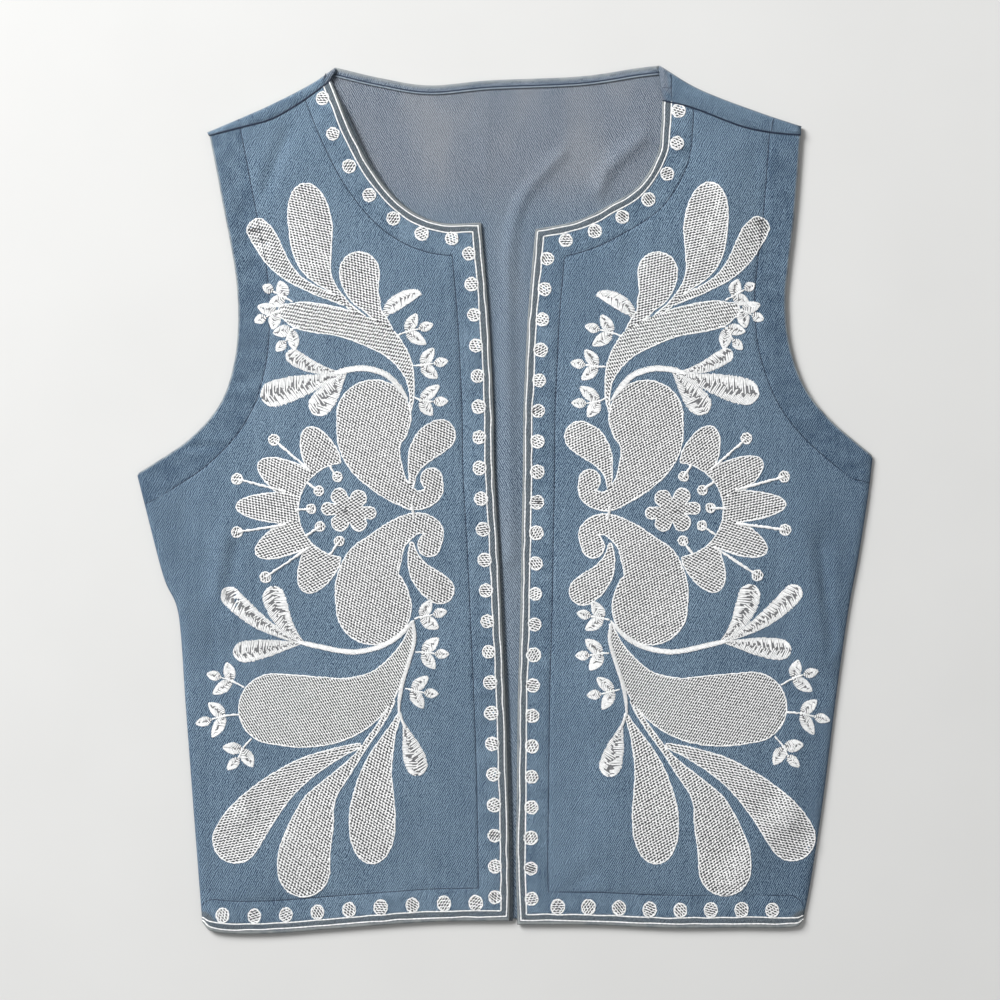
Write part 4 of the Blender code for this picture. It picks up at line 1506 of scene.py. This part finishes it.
def denim(name, tones, other_side, degrees, uneven, warm=None):
    """Twill with faint diagonal ribs, uneven fading, slubs along the warp and wear along the edges."""
    graph = Graph(name)
    angle = math.radians(degrees)
    across = graph.dot(graph.mm, (math.sin(angle), -math.cos(angle), 0))
    along = graph.dot(graph.mm, (math.cos(angle), math.sin(angle), 0))
    ribs = graph.add("ShaderNodeCombineXYZ", ((0, across), (1, along))).outputs[0]
    turns = graph.math("MULTIPLY", across, math.tau / TWILL_PITCH)
    wobble = graph.math("MULTIPLY", graph.noise(ribs, RIB_WOBBLE), RIB_SWING)
    rib = graph.math("SINE", graph.math("ADD", turns, wobble))
    grain = graph.math("ADD", graph.math("MULTIPLY", rib, RIB_SHARE), graph.noise(ribs, FLOATS))
    weave = graph.ramp(grain, WEAVE_TONE)
    fade, slub, mottle = (graph.noise(graph.mm, noise) for noise in (FADE, SLUB, MOTTLE))
    edge, arm, rim = (graph.attribute(key) for key in ("edge_gap", "armhole_gap", "rim_gap"))
    mottled = graph.ramp(graph.math("MINIMUM", edge, arm), MOTTLE_SHARE)
    tone = graph.math("ADD", graph.ramp(fade, FADE_TONE), graph.ramp(slub, SLUB_TONE))
    tone = graph.math("ADD", tone, graph.math("MULTIPLY", mottled, graph.ramp(mottle, MOTTLE_TONE)))
    tone = graph.math("ADD", tone, graph.ramp(arm, ARMHOLE_TONE))
    tone = graph.math("SUBTRACT", tone, graph.attribute("darker_tone"))
    tone = graph.math("MULTIPLY", tone, uneven)
    yarn = graph.math("ADD", weave, tone, clamp=True)
    cloth = graph.mix(yarn, *tones)
    if warm:
        cloth = graph.mix(graph.ramp(graph.noise(graph.mm, WARM), WARM_SHARE), cloth, warm)
    # blend mixes in the other side's colours: the real colour of the neck hem and tabs, and painted shade in
    # the gap between the fronts
    cloth = graph.mix(graph.attribute("blend"), cloth, graph.mix(yarn, *other_side))
    for gap, ramps, worn in ((edge, GREYED, graph.mix(weave, *STRIP)), (rim, BARE, WORN_EDGE)):
        share = graph.math("MULTIPLY", graph.ramp(gap, ramps[0]), graph.ramp(mottle, ramps[1]))
        cloth = graph.mix(share, cloth, worn)
    fuzz = graph.math("MULTIPLY", graph.noise(graph.mm, FUZZ), FUZZ_SHARE)
    graph.bump(graph.math("ADD", grain, fuzz), *DENIM_BUMP)
    return graph.surfaced(cloth, DENIM_SURFACE)


def cotton(name, yarn):
    """Cotton thread with fine ply lines and uneven tone."""
    graph = Graph(name)
    tone = graph.ramp(graph.noise(graph.mm, YARN_NOISE), YARN_TONE)
    graph.bump(graph.noise(graph.mm, PLY), *PLY_BUMP)
    surface = Surface(YARN_ROUGHNESS, YARN_SPECULAR, yarn.sheen)
    return graph.surfaced(graph.mix(tone, yarn.dark, yarn.light), surface)


def floor_material():
    """Pale matt surface with a faint grain."""
    graph = Graph("pale_floor")
    return graph.surfaced(graph.mix(graph.noise(graph.mm, FLOOR_NOISE), *FLOOR_TONES), FLOOR_SURFACE)


# Stage, in metres where a name doesn't say millimetres
FRAME_WIDTH_M = 1000 / 1500
VIEW_CENTRE_MM = (-3.3, -0.3)
LENS_MM = 85.0
SENSOR_MM = 36.0
FLOOR_SIZE = 6
FLOOR_DROP = 0.0002
Lamp = namedtuple("Lamp", "name place size power")
LAMPS = (Lamp("key", (-2.1, 2.0, 2.15), 1.8, 210.0), Lamp("fill", (1.8, -1.2, 2.4), 1.6, 8.0))
WORLD_COLOUR = (1, 1, 1, 1)
WORLD_STRENGTH = 0.3


def make_floor():
    bpy.ops.mesh.primitive_plane_add(size=FLOOR_SIZE, location=(0, 0, -FLOOR_DROP))
    floor = bpy.context.object
    floor.name = "floor"
    floor.data.materials.append(floor_material())


def make_camera():
    """Camera straight above, as high as the photo's width asks for."""
    data = bpy.data.cameras.new("camera")
    data.lens, data.sensor_width = LENS_MM, SENSOR_MM
    camera = bpy.data.objects.new("camera", data)
    height = FRAME_WIDTH_M / 2 / (SENSOR_MM / 2 / LENS_MM)
    camera.location = (VIEW_CENTRE_MM[0] * MM, VIEW_CENTRE_MM[1] * MM, height + FRONT_LEVEL * MM)
    bpy.context.scene.collection.objects.link(camera)
    bpy.context.scene.camera = camera


def make_lights():
    for lamp in LAMPS:
        data = bpy.data.lights.new(lamp.name, "AREA")
        data.size, data.energy = lamp.size, lamp.power
        light = bpy.data.objects.new(lamp.name, data)
        light.location = lamp.place
        light.rotation_euler = (-Vector(lamp.place)).to_track_quat("-Z", "Y").to_euler()
        bpy.context.scene.collection.objects.link(light)
    world = bpy.data.worlds.new("studio")
    world.use_nodes = True
    sky = world.node_tree.nodes["Background"]
    sky.inputs["Color"].default_value = WORLD_COLOUR
    sky.inputs["Strength"].default_value = WORLD_STRENGTH
    bpy.context.scene.world = world
    bpy.context.scene.view_settings.view_transform = "Standard"


SEEDS = {"right": 11, "left": 23}


def settle(piece, node=None):
    """Fasten a piece to the vest, and hide the solid that it stands for."""
    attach(piece, "root")
    if node:
        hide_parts(node)
    return piece


def main():
    make_floor()
    make_camera()
    make_lights()
    face = denim("denim_face", FACE, REVERSE, TWILL_DEGREES, FACE_UNEVEN)
    reverse = denim("denim_reverse", REVERSE, FACE, 180 - TWILL_DEGREES, REVERSE_UNEVEN, REVERSE_WARM)
    light, dark, ground, navy, pale = (cotton(name, yarn) for name, yarn in YARNS.items())
    fronts = {side: Front(side, seed) for side, seed in SEEDS.items()}

    back = settle(make_back(fronts, [reverse, face]), "back")
    on_back = [
        settle(make_neck_hem([face]), "neck_hem"),
        settle(neck_line(NECK_LINES["dark"], NECK_DARK).make("neck_stitch", navy)),
        settle(neck_line(NECK_LINES["pale"], NECK_PALE).make("neck_ridge", pale)),
        settle(tab_lines().make("tab_stitch", navy)),
    ]

    for side, front in fronts.items():
        panel = settle(make_front(front, [face, reverse]), f"front_{side}")
        on_front = [
            settle(make_facing(front, [face]), f"facing_{side}"),
            settle(make_armhole_facing(front, [reverse]), f"armhole_facing_{side}"),
            settle(make_hem(front, [reverse]), f"hem_{side}"),
            settle(white_lines(front).make(f"white_topstitch_{side}", light)),
            settle(navy_lines(front).make(f"navy_stitch_{side}", navy)),
        ]
        works = {group: embroider(front, group) for group in ("upper", "middle", "lower", "sprays")}
        works["edge_dots"] = edge_dots(front)
        for group, work in works.items():
            on_front.append(settle(work.light.make(f"embroidery_{group}_{side}", light)))
            # The underlay plates carry painted shade: mid grey under the satin sprays, dark grey under fills
            # and dots
            under = ground if group == "sprays" else dark
            on_front.append(settle(work.dark.make(f"underlay_{group}_{side}", under)))


main()
